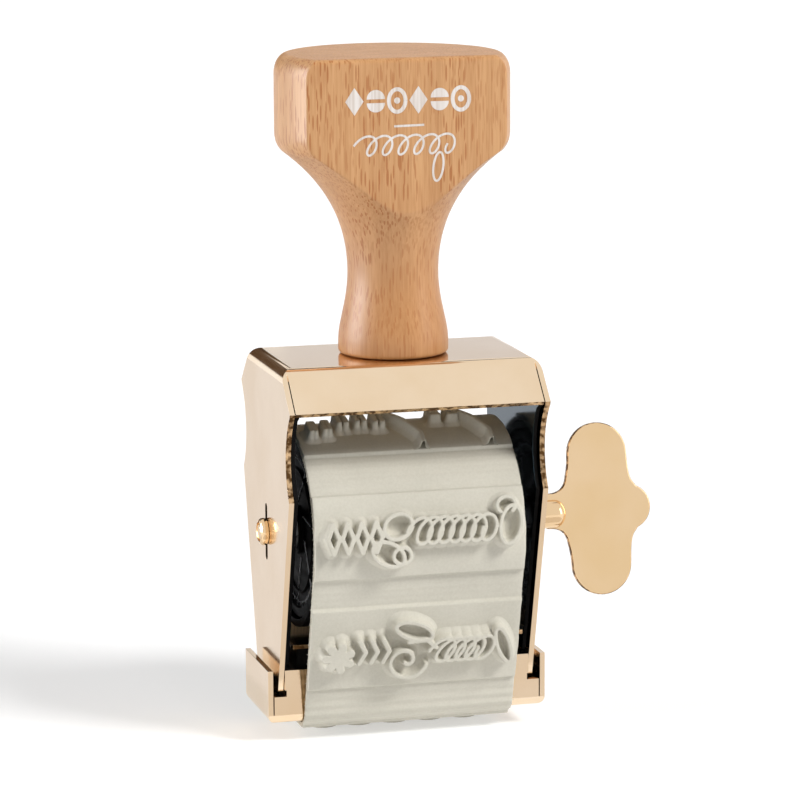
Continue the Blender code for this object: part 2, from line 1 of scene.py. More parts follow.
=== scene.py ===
"""Looks of the hand-held roller stamp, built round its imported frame.

Lengths are in millimetres and are scaled to metres where meshes are made. +X runs along
the drum's axle towards the key, -Y is the front, +Z is up.
"""

import math

import bmesh
import bpy
import numpy as np
from mathutils import Matrix, Vector


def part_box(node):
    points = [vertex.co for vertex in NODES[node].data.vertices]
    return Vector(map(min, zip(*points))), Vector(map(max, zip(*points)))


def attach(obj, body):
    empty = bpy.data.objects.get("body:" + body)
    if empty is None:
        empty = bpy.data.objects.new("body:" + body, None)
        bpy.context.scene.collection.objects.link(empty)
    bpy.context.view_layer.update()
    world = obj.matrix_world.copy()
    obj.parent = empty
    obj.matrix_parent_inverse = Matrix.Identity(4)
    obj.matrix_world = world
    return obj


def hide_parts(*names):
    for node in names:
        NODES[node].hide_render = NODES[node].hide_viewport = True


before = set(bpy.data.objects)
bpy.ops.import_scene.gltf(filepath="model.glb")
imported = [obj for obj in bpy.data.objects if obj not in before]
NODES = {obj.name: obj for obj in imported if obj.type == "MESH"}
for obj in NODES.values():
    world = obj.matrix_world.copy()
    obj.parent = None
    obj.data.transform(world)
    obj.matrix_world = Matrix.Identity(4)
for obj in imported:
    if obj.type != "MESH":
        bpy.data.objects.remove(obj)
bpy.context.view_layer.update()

MM = 0.001
# How far cutters reach, past everything they cut
FAR = 30
# Edges between faces at more than this angle, in degrees, are shaded sharp
SHARP_ANGLE = 35


def node_box(node):
    """Lowest and highest corners of a CAD node, in millimetres."""
    low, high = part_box(node)
    return low / MM, high / MM


# Camera
CAMERA_AZIMUTH = 14.905
CAMERA_ELEVATION = 10.401
CAMERA_ROLL = -0.288
CAMERA_PLACE = (-190.6, -718.7, 200.6)
CAMERA_LENS = 179.27
CAMERA_SENSOR = 36

# Frame
SHEET = 1.0
FRAME_HALF_WIDTH = node_box("frame_shell")[1].x
FRAME_TOP = node_box("frame_shell")[1].z
TOP_HALF_DEPTH = 12.65
FLAP_HALF_DEPTH = 20.2
FLAP_BOTTOM = 65.5
NOTCH_HALF_DEPTH = 18.9
NOTCH_BOTTOM = 48.6
NOTCH_DEPTH = 2.9
LEG_HALF_DEPTH = 8.4
LEG_BOTTOM = 10.1
TOP_BEND_RADIUS = 2.4
SEAM = 0.2
SHEET_EDGE = 0.13
FLAP_TRIM = 0.05
HOLE_FIT = 0.08
CLIP_SLOT_REACH = 4.65
CLIP_SLOT_RADIUS = 0.85
LEG_GAP = 0.08
CHEEK = 0.8
CHEEK_GAP = 0.3
CHEEK_BOTTOM = 15.0
CHEEK_INSET = 1.2

# Base tray and platen
TRAY_LOW, TRAY_HIGH = node_box("base_tray")
TRAY_BEND_RADIUS = 1.8
TRAY_NOTCH_BOTTOM = 9.2
SCREW_X = 14.0
SCREW_HOLE = 1.5
BLOCK_LOW, BLOCK_HIGH = node_box("platen_block")
COVER_LOW, COVER_HIGH = node_box("platen_cover")

# Band: its outer path runs on the drum's large arc and two small ones under the tray
AXLE_Z = 39.4
PATH_RADIUS = 20.5
FOOT_RADIUS = 5.0
FOOT_HALF_DEPTH = 7.1
RELIEF = 1.8
BAND_HALF_WIDTH = 20.55
BAND_BACKING = 1.3
PLATE_DROP = 0.5
STRIP_DROP = 1.15
PLATE_LENGTH = 17.3
# Distances along the band at which the plates start
PLATE_STARTS = (-8.65, 19.0, 42.3, 68.5, 96.5, 124.5)
RELIEF_CELL = 0.13
# A stroke's relief has faded out within this distance of its line
STROKE_REACH = 2.5
BELT_GAP = 0.05
BELT_THICKNESS = 0.25
THREAD_PITCH = 0.42

# Drum, axle and key
DRUM_RADIUS = 18.6
DRUM_WALL = 1.5
DRUM_HALF_WIDTH = 20.2
WHEEL_OUTER = 19.6
WHEEL_GAP = 0.3
RIDGE_WIDTH = 0.26
AXLE_RADIUS = 2.3
AXLE_END_RADIUS = 1.8
SHAFT_RADIUS = 2.8
SHAFT_END = 34.4
SHAFT_DOME = 2.2
CLIP_RADIUS = 2.6
CLIP_LENGTH = 1.45
KEY_START = 30.4
KEY_CENTRE = 41.3
KEY_THICKNESS = 1.3
KEY_HALF_HEIGHT = 16.8
KEY_RISE = 0.5
KEY_LEAN = 10.0

# Handle
HANDLE_BASE_Z = FRAME_TOP + 0.15
HANDLE_TOP = node_box("handle")[1].z
HANDLE_FLAT = 11.3
HANDLE_EASE = 0.9
HANDLE_BLEND = 0.35
# Noise cells per metre across and along the wood
WOOD_FIBRES = (2600, 2600, 90)

# Stage
FLOOR_REACH = 9000


# ---------------------------------------------------------------- materials


class Shader:
    """A material's node tree, with short calls that add and join its nodes."""

    def __init__(self, name, colour, roughness, metallic=0.0):
        self.material = bpy.data.materials.new(name)
        self.material.use_nodes = True
        self.tree = self.material.node_tree
        self.principled = self.tree.nodes["Principled BSDF"]
        self.surface({"Base Color": (*colour, 1.0), "Roughness": roughness, "Metallic": metallic})
        self.place = self.tree.nodes.new("ShaderNodeTexCoord").outputs["Object"]

    def set(self, node, values):
        """Links or sets a node's inputs, given by name or number."""
        for name, value in values.items():
            if isinstance(value, bpy.types.NodeSocket):
                self.tree.links.new(value, node.inputs[name])
            else:
                node.inputs[name].default_value = value

    def surface(self, values):
        """Sets inputs of the material's own Principled shader."""
        self.set(self.principled, values)

    def add(self, kind, values, output=0, **settings):
        """Adds a node with its inputs and settings, and gives one of its outputs."""
        node = self.tree.nodes.new(f"ShaderNode{kind}")
        for name, value in settings.items():
            setattr(node, name, value)
        self.set(node, values)
        return node.outputs[output]

    def scaled(self, scale):
        """The piece's own coordinates, in cells per metre along x, y and z."""
        return self.add("Mapping", {"Vector": self.place, "Scale": scale})

    def noise(self, scale, detail=2.0):
        """Noise with a number of cells per metre, or with one for each axis."""
        scale = scale if isinstance(scale, tuple) else (scale,) * 3
        return self.add("TexNoise", {"Vector": self.scaled(scale), "Scale": 1.0, "Detail": detail})

    def ramp(self, value, stops):
        """Colour or grey against a value, between two (position, colour or grey) stops."""
        node = self.tree.nodes.new("ShaderNodeValToRGB")
        for element, (position, colour) in zip(node.color_ramp.elements, stops):
            element.position = position
            element.color = (*(colour if isinstance(colour, tuple) else (colour,) * 3), 1.0)
        self.set(node, {"Fac": value})
        return node.outputs["Color"]

    def mix(self, amount, first, second, blend="MIX"):
        """Mix of two colours. The node numbers its colour sockets 6, 7 and, going out, 2."""
        values = {0: amount, 6: first, 7: second}
        return self.add("Mix", values, 2, data_type="RGBA", blend_type=blend)

    def math(self, operation, first, second):
        return self.add("Math", {0: first, 1: second}, operation=operation)

    def bump(self, height, strength, depth):
        """Adds relief, up to depth in millimetres, to the surface."""
        values = {"Height": height, "Strength": strength, "Distance": depth * MM}
        self.surface({"Normal": self.add("Bump", values, "Normal")})

    def colour(self, value):
        self.surface({"Base Color": value})

    def roughness(self, value):
        self.surface({"Roughness": value})

    def mottle(self, texture, tones, gloss=None, relief=None):
        """Colour and, where given, roughness and relief from one texture. Gives the material."""
        self.colour(self.ramp(texture, tones))
        if gloss:
            self.roughness(self.ramp(texture, gloss))
        if relief:
            self.bump(texture, *relief)
        return self.material


def gold_finish(name, deep, pale):
    """Polished gold plate with faint rolling lines and handling haze, between two tones."""
    shader = Shader(name, pale, 0.12, 1.0)
    haze = shader.noise(60, 3.0)
    lines = shader.noise((25, 400, 2600))
    wear = shader.mix(0.35, haze, lines)
    shader.roughness(shader.ramp(wear, ((0.3, 0.085), (0.75, 0.16))))
    shader.bump(lines, 0.08, 0.02)
    return shader.mottle(haze, ((0.35, deep), (0.7, pale)))


def edge_and_shade_finish():
    """Edge of gilded sheet, partly real and partly painted shade: dull brown breaks through the bright
    plate in specks that darken the edges.
    """
    shader = Shader("plate_edge_and_shade", (0.55, 0.36, 0.20), 0.3, 1.0)
    tones = ((0.42, (0.11, 0.055, 0.02)), (0.62, (0.68, 0.46, 0.26)))
    return shader.mottle(shader.noise(900), tones, ((0.35, 0.4), (0.65, 0.2)), (0.25, 0.05))


def beech_finish():
    """Oiled beech: upright grain, soft bands, streaks and short dark flecks."""
    shader = Shader("oiled_beech", (0.62, 0.36, 0.17), 0.45)
    bands = shader.noise((260, 260, 9), 3.0)
    base = shader.ramp(bands, ((0.3, (0.48, 0.235, 0.088)), (0.72, (0.61, 0.325, 0.138))))
    fibres = shader.noise(WOOD_FIBRES)
    grain = shader.ramp(fibres, ((0.35, (0.32, 0.15, 0.055)), (0.65, (0.66, 0.42, 0.23))))
    base = shader.mix(0.16, base, grain)
    # Painted shade: the wood is darkest at the neck, 80 mm up, and below it, and plain from 33 mm above
    # it
    height = shader.add("SeparateXYZ", {"Vector": shader.place}, "Z")
    height = shader.math("MULTIPLY", shader.math("SUBTRACT", height, 0.08), 30.0)
    tan = shader.ramp(height, ((0.0, (0.84, 0.76, 0.68)), (1.0, (1.0, 1.0, 1.0))))
    base = shader.mix(1.0, base, tan, "MULTIPLY")
    streaks = shader.ramp(shader.noise((2300, 2300, 130), 1.0), ((0.52, 0.0), (0.66, 0.5)))
    base = shader.mix(streaks, base, (0.40, 0.17, 0.055, 1.0))
    cells = {"Vector": shader.scaled((1800, 1800, 190)), "Scale": 1.0, "Randomness": 1.0}
    fleck = shader.ramp(shader.add("TexVoronoi", cells), ((0.28, 1.0), (0.36, 0.0)))
    thin = shader.ramp(shader.noise((90, 90, 20), 1.0), ((0.36, 0.35), (0.62, 1.0)))
    amount = shader.math("MULTIPLY", shader.math("MULTIPLY", fleck, thin), 0.9)
    shader.colour(shader.mix(amount, base, (0.36, 0.125, 0.03, 1.0)))
    shader.roughness(shader.ramp(fibres, ((0.3, 0.38), (0.7, 0.52))))
    shader.surface({"Coat Weight": 0.12, "Coat Roughness": 0.3})
    shader.bump(shader.mix(0.5, fibres, fleck), 0.12, 0.05)
    return shader.material


def rubber_finish():
    """Moulded grey-beige rubber with a chalky, mottled skin."""
    shader = Shader("stamp_rubber", (0.61, 0.58, 0.49), 0.62)
    cloud = shader.noise(55, 4.0)
    tone = shader.ramp(cloud, ((0.3, (0.51, 0.485, 0.405)), (0.72, (0.59, 0.56, 0.475))))
    grain = shader.noise(2200)
    shader.colour(shader.mix(0.06, tone, shader.ramp(grain, ((0.35, 0.3), (0.65, 0.85)))))
    shader.roughness(shader.ramp(grain, ((0.3, 0.55), (0.7, 0.72))))
    shader.surface({"Sheen Weight": 0.08, "Sheen Roughness": 0.5})
    shader.bump(shader.mix(0.5, grain, shader.noise(500)), 0.08, 0.05)
    return shader.material


def cloth_finish():
    """Woven cotton backing: warp and weft threads, each about a millimetre apart."""
    shader = Shader("woven_backing", (0.62, 0.58, 0.48), 0.9)
    warp = {"Vector": shader.scaled((480, 1, 1)), "Scale": 1.0}
    weft = {"Vector": shader.scaled((1, 480, 480)), "Scale": 1.0}
    warp = shader.add("TexWave", warp, bands_direction="X")
    weft = shader.add("TexWave", weft, bands_direction="DIAGONAL")
    shader.surface({"Sheen Weight": 0.3, "Sheen Roughness": 0.6})
    tones = ((0.2, (0.42, 0.38, 0.29)), (0.8, (0.70, 0.66, 0.55)))
    return shader.mottle(shader.mix(0.5, warp, weft), tones, relief=(0.6, 0.1))


def black_finish():
    """Satin black moulding with light swirl marks."""
    shader = Shader("satin_black", (0.012, 0.012, 0.013), 0.3)
    shader.surface({"IOR": 1.05})
    shader.bump(shader.noise(160, 1.0), 0.06, 0.1)
    tones = ((0.3, (0.006, 0.006, 0.006)), (0.75, (0.012, 0.011, 0.011)))
    return shader.mottle(shader.noise((900, 120, 900), 3.0), tones, ((0.35, 0.3), (0.7, 0.45)))


def liner_finish():
    """Polished sheet blued nearly to black, with a cold sheen."""
    shader = Shader("blued_liner", (0.05, 0.085, 0.11), 0.12, 1.0)
    tones = ((0.3, (0.045, 0.075, 0.10)), (0.7, (0.06, 0.10, 0.13)))
    return shader.mottle(shader.noise(70, 3.0), tones, ((0.3, 0.1), (0.7, 0.17)), (0.03, 0.1))


def ridge_highlight_finish():
    """Painted highlight: light grey paint on the black wheels' thin moulded ridges, standing in for their
    shine.
    """
    shader = Shader("ridge_highlight", (0.16, 0.155, 0.16), 0.5)
    tones = ((0.35, (0.45, 0.45, 0.46)), (0.62, (0.8, 0.79, 0.8)))
    return shader.mottle(shader.noise(600, 3.0), tones, relief=(0.1, 0.1))


def steel_finish():
    """Zinc-plated steel with a fine matt spangle."""
    shader = Shader("zinc_steel", (0.55, 0.55, 0.56), 0.3, 1.0)
    tones = ((0.3, (0.48, 0.48, 0.50)), (0.7, (0.62, 0.62, 0.61)))
    return shader.mottle(shader.noise(1500, 3.0), tones, ((0.3, 0.24), (0.7, 0.4)), (0.1, 0.03))


def print_finish():
    """Thin white ink that lets the wood's fibres show faintly."""
    shader = Shader("white_ink", (0.70, 0.64, 0.60), 0.5)
    tones = ((0.3, (0.58, 0.50, 0.44)), (0.65, (0.73, 0.68, 0.645)))
    return shader.mottle(shader.noise(WOOD_FIBRES), tones, relief=(0.1, 0.02))


def floor_finish():
    """Pale studio floor with a little glow of its own, so that it fades into the surroundings."""
    shader = Shader("pale_floor", (0.62, 0.62, 0.62), 0.8)
    shader.surface({"Emission Color": (1.0, 1.0, 1.0, 1.0), "Emission Strength": 0.42})
    return shader.mottle(shader.noise(3), ((0.3, 0.61), (0.7, 0.63)))


FINISHES = {
    "gold": gold_finish("polished_gold", (0.87, 0.67, 0.455), (0.92, 0.74, 0.54)),
    "cut_edge_and_shade": edge_and_shade_finish(),
    "warm_gold": gold_finish("warm_gold", (0.83, 0.59, 0.33), (0.87, 0.64, 0.40)),
    "beech": beech_finish(),
    "rubber": rubber_finish(),
    "cloth": cloth_finish(),
    "black": black_finish(),
    "liner": liner_finish(),
    "ridge_highlight": ridge_highlight_finish(),
    "steel": steel_finish(),
}


# ---------------------------------------------------------------- mesh helpers


def linked(name, data):
    """A new object with this mesh, light or camera, put into the scene."""
    obj = bpy.data.objects.new(name, data)
    bpy.context.scene.collection.objects.link(obj)
    return obj


def mesh_of(name, made):
    """A mesh in metres from a bmesh in millimetres."""
    bmesh.ops.scale(made, vec=(MM, MM, MM), verts=made.verts)
    mesh = bpy.data.meshes.new(name)
    made.to_mesh(mesh)
    made.free()
    return mesh


def object_of(name, made):
    """Puts a bmesh into the scene with its normals outwards and its round faces smooth."""
    bmesh.ops.recalc_face_normals(made, faces=made.faces)
    mesh = mesh_of(name, made)
    mesh.shade_smooth()
    mesh.set_sharp_from_angle(angle=math.radians(SHARP_ANGLE))
    return linked(name, mesh)


def axis_point(axis, u, v, along):
    return {"X": (along, u, v), "Y": (u, along, v), "Z": (u, v, along)}[axis]


def prism(name, outline, axis, low, high):
    """A closed outline pushed along an axis from low to high."""
    made = bmesh.new()
    near = [made.verts.new(axis_point(axis, u, v, low)) for u, v in outline]
    far = [made.verts.new(axis_point(axis, u, v, high)) for u, v in outline]
    made.faces.new(near)
    made.faces.new(far)
    for i in range(len(outline)):
        j = (i + 1) % len(outline)
        made.faces.new((near[i], near[j], far[j], far[i]))
    return object_of(name, made)


def box(name, low, high):
    outline = ((low[0], low[1]), (high[0], low[1]), (high[0], high[1]), (low[0], high[1]))
    return prism(name, outline, "Z", low[2], high[2])


def turned(name, profile, axis, segments=96, hollow=False, centre=(0, 0, 0)):
    """A profile of (radius, along) points turned about an axis. A hollow one joins its ends."""
    made = bmesh.new()
    rings = []
    for radius, along in profile:
        count = 1 if radius == 0 else segments
        angles = (2 * math.pi * i / segments for i in range(count))
        points = ((radius * math.cos(a), radius * math.sin(a)) for a in angles)
        places = (Vector(axis_point(axis, u, v, along)) + Vector(centre) for u, v in points)
        rings.append([made.verts.new(place) for place in places])
    pairs = list(zip(rings, rings[1:]))
    if hollow:
        pairs.append((rings[-1], rings[0]))
    for first, second in pairs:
        for i in range(segments):
            j = (i + 1) % segments
            steps = ((first, i), (first, j), (second, j), (second, i))
            made.faces.new(dict.fromkeys(ring[k % len(ring)] for ring, k in steps))
    if not hollow:
        for ring in (rings[0], rings[-1]):
            if len(ring) > 1:
                made.faces.new(ring)
    return object_of(name, made)


def grid_object(name, points, closed_rows=False, closed_columns=False, keep=None):
    """A surface over a (rows, columns, 3) array of points. Keep says which cells stay."""
    rows, columns = points.shape[:2]
    index = np.arange(rows * columns).reshape(rows, columns)
    if closed_rows:
        index = np.vstack((index, index[:1]))
    if closed_columns:
        index = np.hstack((index, index[:, :1]))
    cells = (index[:-1, :-1], index[:-1, 1:], index[1:, 1:], index[1:, :-1])
    faces = np.stack(cells, axis=-1)
    faces = faces[keep] if keep is not None else faces.reshape(-1, 4)
    used, renumbered = np.unique(faces, return_inverse=True)
    mesh = bpy.data.meshes.new(name)
    places = points.reshape(-1, 3)[used] * MM
    mesh.from_pydata(places.tolist(), [], renumbered.reshape(-1, 4).tolist())
    mesh.shade_smooth()
    return linked(name, mesh)


def settle(obj):
    """Applies the object's modifiers to its mesh."""
    graph = bpy.context.evaluated_depsgraph_get()
    mesh = bpy.data.meshes.new_from_object(obj.evaluated_get(graph))
    obj.modifiers.clear()
    obj.data = mesh
    return obj


def cut(target, *tools):
    """Cuts helper objects out of the target, then removes them."""
    for tool in tools:
        modifier = target.modifiers.new(tool.name, "BOOLEAN")
        modifier.operation = "DIFFERENCE"
        modifier.object = tool
    settle(target)
    for tool in tools:
        bpy.data.objects.remove(tool)


def bevel(obj, width, segments, angle):
    """Adds a modifier that rounds the edges sharper than an angle."""
    modifier = obj.modifiers.new("soft_edges", "BEVEL")
    modifier.width = width * MM
    modifier.segments = segments
    modifier.limit_method = "ANGLE"
    modifier.angle_limit = math.radians(angle)
    return modifier


def soften(obj, width, segments=2, angle=32):
    """Rounds the sharp edges of a made piece, for good."""
    bevel(obj, width, segments, angle).harden_normals = True
    obj.data.shade_smooth()
    settle(obj)


def piece(obj, finish, body, *nodes):
    """Gives a made piece its material, and the body and CAD nodes it belongs to."""
    obj.data.materials.clear()
    obj.data.materials.append(FINISHES[finish])
    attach(obj, body)
    if nodes:
        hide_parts(*nodes)
    return obj


def repaint(obj, finish, chosen):
    """Gives the faces that the test chooses another finish. Their place is in millimetres."""
    obj.data.materials.append(FINISHES[finish])
    for face in obj.data.polygons:
        if chosen(face.center / MM, face.normal):
            face.material_index = 1


def dress(node, finish):
    """Gives a CAD node that stays its fine material and small edge radii."""
    obj = NODES[node]
    obj.data.materials.clear()
    obj.data.materials.append(FINISHES[finish])
    bevel(obj, 0.08, 2, 40)


def bezier(p0, p1, p2, p3, steps):
    """Points of a cubic curve, with its first point left out."""
    points = []
    for k in range(1, steps + 1):
        t = k / steps
        weights = ((1 - t) ** 3, 3 * t * (1 - t) ** 2, 3 * t * t * (1 - t), t**3)
        points.append(tuple(sum(w * p[i] for w, p in zip(weights, (p0, p1, p2, p3))) for i in (0, 1)))
    return points


def bowed(start, end, depth, steps):
    """Points of an arc between two points, bulging by depth to the left of its direction."""
    a, b = Vector(start), Vector(end)
    half = (b - a).length / 2
    radius = (half * half + depth * depth) / (2 * abs(depth))
    side = Vector((a.y - b.y, b.x - a.x)).normalized() * math.copysign(1, depth)
    centre = (a + b) / 2 - side * (radius - abs(depth))
    turn = (a - centre).angle_signed(b - centre)
    arms = (Matrix.Rotation(-turn * k / steps, 2) @ (a - centre) for k in range(steps + 1))
    return [tuple(centre + arm) for arm in arms]


def arc(u, v, radius, first, last, steps):
    """Points of an arc about (u, v), between two angles in degrees."""
    angles = (math.radians(first + (last - first) * k / steps) for k in range(steps + 1))
    return [(u + radius * math.cos(a), v + radius * math.sin(a)) for a in angles]


def quarter(u, v, across, up, steps):
    """Points of a quarter ellipse that starts at (u, v) and turns in by across and up."""
    return [(u - across * (1 - c), v + up * s) for c, s in arc(0, 0, 1, 0, 90, steps)]


def rounded(before, corner, after, radius, steps):
    """Points of the arc that replaces a corner of an outline."""
    p, a, b = Vector(corner), Vector(before), Vector(after)
    to_a, to_b = (a - p).normalized(), (b - p).normalized()
    half = to_a.angle(to_b) / 2
    centre = p + (to_a + to_b).normalized() * radius / math.sin(half)
    start = p + to_a * radius / math.tan(half) - centre
    end = p + to_b * radius / math.tan(half) - centre
    turn = start.angle_signed(end)
    return [tuple(centre + Matrix.Rotation(-turn * k / steps, 2) @ start) for k in range(steps + 1)]


def bend_cut(name, corner, inward, axis, radius, steps=12):
    """Cutter that rounds an outside edge of folded sheet. Inward gives the signs towards it."""
    (u, v), (du, dv) = corner, inward
    outline = [(u, v + dv * radius), (u - du, v + dv * radius), (u - du, v - dv)]
    outline.append((u + du * radius, v - dv))
    for a, b in arc(0, 0, radius, 0, 90, steps)[:-1]:
        outline.append((u + du * (radius - b), v + dv * (radius - a)))
    return prism(name, outline, axis, -FAR, FAR)


def mirrored(points):
    return [(-u, v) for u, v in reversed(points)]


def ribbon_sides(points, width):
    """The two edges of a flat ribbon that follows a line."""
    points = np.asarray(points, float)
    ahead = np.gradient(points, axis=0)
    ahead /= np.linalg.norm(ahead, axis=1)[:, None] + 1e-9
    side = np.stack((-ahead[:, 1], ahead[:, 0]), axis=1) * width / 2
    return points + side, points - side


# ---------------------------------------------------------------- folded frame


def side_outline():
    """Outline of a side plate, seen along X: front edge, foot, then the rear edge."""
    notch_top = (-FLAP_HALF_DEPTH + 0.2, FLAP_BOTTOM - 0.6)
    notch = bowed(notch_top, (-NOTCH_HALF_DEPTH, NOTCH_BOTTOM), NOTCH_DEPTH, 28)
    corner = (-TOP_HALF_DEPTH, FRAME_TOP)
    flap_end = (-FLAP_HALF_DEPTH, FLAP_BOTTOM)
    bend = rounded((0, FRAME_TOP), corner, flap_end, TOP_BEND_RADIUS, 10)
    front = [*bend, flap_end, *notch, (-LEG_HALF_DEPTH, LEG_BOTTOM)]
    return front + mirrored(front)


def flap_line(inset, overrun=0):
    """The front flap's top and bottom points, moved inwards by inset and run on below it."""
    top = Vector((-TOP_HALF_DEPTH, FRAME_TOP))
    bottom = Vector((-FLAP_HALF_DEPTH, FLAP_BOTTOM))
    along = (bottom - top).normalized()
    inward = Vector((-along.y, along.x))
    ceiling = FRAME_TOP - inset
    foot = bottom + inward * inset
    head = foot - along * ((ceiling - foot.y) / -along.y)
    return tuple(head), tuple(foot + along * overrun)


def bore(name, radius, low, high, axis="X", centre=(0, 0, AXLE_Z)):
    """Cutter for a round hole."""
    return turned(name, ((radius, low), (radius, high)), axis, 64, centre=centre)


def frame_shell():
    """One folded sheet: top, two side plates and the front and rear flaps."""
    shell = prism("frame_shell_look", side_outline(), "X", -FRAME_HALF_WIDTH, FRAME_HALF_WIDTH)
    head, foot = flap_line(SHEET, -FLAP_TRIM)
    outwards = Vector(flap_line(0, -FLAP_TRIM)[1]) - Vector(foot)
    inside = [head, foot, tuple(Vector(foot) + outwards * 8), (-FAR, 0)]
    hollow_width = FRAME_HALF_WIDTH - SHEET
    cuts = [prism("hollow", inside + mirrored(inside), "X", -hollow_width, hollow_width)]
    for side in (-1, 1):
        edge = (side * FRAME_HALF_WIDTH, FRAME_TOP)
        cuts.append(bend_cut(f"bend_{side}", edge, (-side, -1), "Y", TOP_BEND_RADIUS))
        x0, x1 = sorted((side * hollow_width, side * (hollow_width - SEAM)))
        for face in (-1, 1):
            y0, y1 = sorted((face * (TOP_HALF_DEPTH + 0.9), face * FAR))
            low, high = (x0, y0, FLAP_BOTTOM - 3), (x1, y1, FRAME_TOP + 1)
            cuts.append(box(f"seam_{side}_{face}", low, high))
    cuts.append(bore("left_hole", AXLE_END_RADIUS + HOLE_FIT, -FAR, -20))
    cuts.append(bore("right_hole", SHAFT_RADIUS + HOLE_FIT, 20, FAR))
    slot = arc(0, AXLE_Z + CLIP_SLOT_REACH, CLIP_SLOT_RADIUS, 0, 180, 10)
    slot += arc(0, AXLE_Z - CLIP_SLOT_REACH, CLIP_SLOT_RADIUS, 180, 360, 10)
    cuts.append(prism("clip_slot", slot, "X", -FAR, -20))
    cut(shell, *cuts)
    soften(shell, SHEET_EDGE, 3)
    piece(shell, "gold", "frame", "frame_shell")

    # The notch edges under the flaps get the dark edge colour, partly sheared metal and partly painted
    # shade.
    def sheared_and_shaded(place, normal):
        in_notch = NOTCH_BOTTOM < place.z < FLAP_BOTTOM and abs(normal.x) < 0.5
        return in_notch and abs(place.y) > NOTCH_HALF_DEPTH - NOTCH_DEPTH - 1

    repaint(shell, "cut_edge_and_shade", sheared_and_shaded)


def cheek(name, side):
    """Black liner on the inner face of a side plate."""
    front = list(flap_line(SHEET + CHEEK_GAP))
    for y, z in side_outline():
        if y < 0 and CHEEK_BOTTOM < z < FLAP_BOTTOM - 1.5:
            front.append((y * (1 - CHEEK_INSET / FLAP_HALF_DEPTH), z))
    slope = (NOTCH_HALF_DEPTH - LEG_HALF_DEPTH) / (NOTCH_BOTTOM - LEG_BOTTOM)
    foot = NOTCH_HALF_DEPTH - (NOTCH_BOTTOM - CHEEK_BOTTOM) * slope - CHEEK_INSET
    front.append((-foot, CHEEK_BOTTOM))
    outer = side * (FRAME_HALF_WIDTH - SHEET - CHEEK_GAP)
    low, high = sorted((outer, outer - side * CHEEK))
    plate = prism(f"{name}_look", front + mirrored(front), "X", low, high)
    radius = (AXLE_RADIUS if side < 0 else SHAFT_RADIUS) + CHEEK_GAP
    cut(plate, bore("cheek_hole", radius, low - 1, high + 1))
    soften(plate, 0.15)
    piece(plate, "liner", "frame", name)
    repaint(plate, "black", lambda place, normal: abs(normal.x) < 0.9)


# ---------------------------------------------------------------- base tray and platen


def screw_holes(low, high):
    """Cutters for the two screws that hold the platen to the tray."""
    return [bore(f"screw_{side}", SCREW_HOLE, low, high, "Z", (side * SCREW_X, 0, 0)) for side in (-1, 1)]


def base_tray():
    """Folded tray: floor, two end flanges, and lips that stop where the frame's legs stand."""
    half_width, half_depth = TRAY_HIGH.x, TRAY_HIGH.y
    bottom = TRAY_LOW.z
    tray = box("base_tray_look", tuple(TRAY_LOW), tuple(TRAY_HIGH))
    inner_width = half_width - SHEET
    inner_depth = half_depth - SHEET
    leg_inner = FRAME_HALF_WIDTH - SHEET - LEG_GAP
    hook_top = TRAY_NOTCH_BOTTOM + 1.2
    low, high = (-inner_width, -inner_depth, bottom + SHEET), (inner_width, inner_depth, FAR)
    cuts = [box("tray_hollow", low, high), *screw_holes(0, bottom + 5)]
    for side in (-1, 1):
        for axis, half in (("Y", half_width), ("X", half_depth)):
            name = f"tray_bend_{axis}_{side}"
            cuts.append(bend_cut(name, (side * half, bottom), (-side, 1), axis, TRAY_BEND_RADIUS))
        for face in (-1, 1):
            y0, y1 = sorted((face * (inner_depth - 0.5), face * (half_depth + 2)))
            for name, reach, z0, z1 in (
                ("seam", inner_width - SEAM, bottom + TRAY_BEND_RADIUS, FAR),
                ("notch", leg_inner, TRAY_NOTCH_BOTTOM, FAR),
                ("hook", leg_inner - 0.3, TRAY_NOTCH_BOTTOM, hook_top),
            ):
                x0, x1 = sorted((side * inner_width, side * reach))
                cuts.append(box(f"tray_{name}_{side}_{face}", (x0, y0, z0), (x1, y1, z1)))
    cut(tray, *cuts)
    soften(tray, SHEET_EDGE, 3)
    piece(tray, "gold", "frame", "base_tray")


def platen_part(name, finish, low, high):
    """One block or plate of the platen, with its screw holes and eased edges."""
    made = box(f"{name}_look", tuple(low), tuple(high))
    cut(made, *screw_holes(0, FAR))
    soften(made, 0.2, 3)
    return piece(made, finish, "frame", name)


def platen():
    """Block inside the band, and the plate screwed down on top of it."""
    platen_part("platen_block", "black", BLOCK_LOW, BLOCK_HIGH)
    cover = platen_part("platen_cover", "warm_gold", COVER_LOW, COVER_HIGH)
    # The cover's side edges get the dark edge colour, here painted shade for the dark gap beside the
    # band.
    repaint(cover, "cut_edge_and_shade", lambda place, normal: abs(normal.z) < 0.5)


# ---------------------------------------------------------------- rubber band


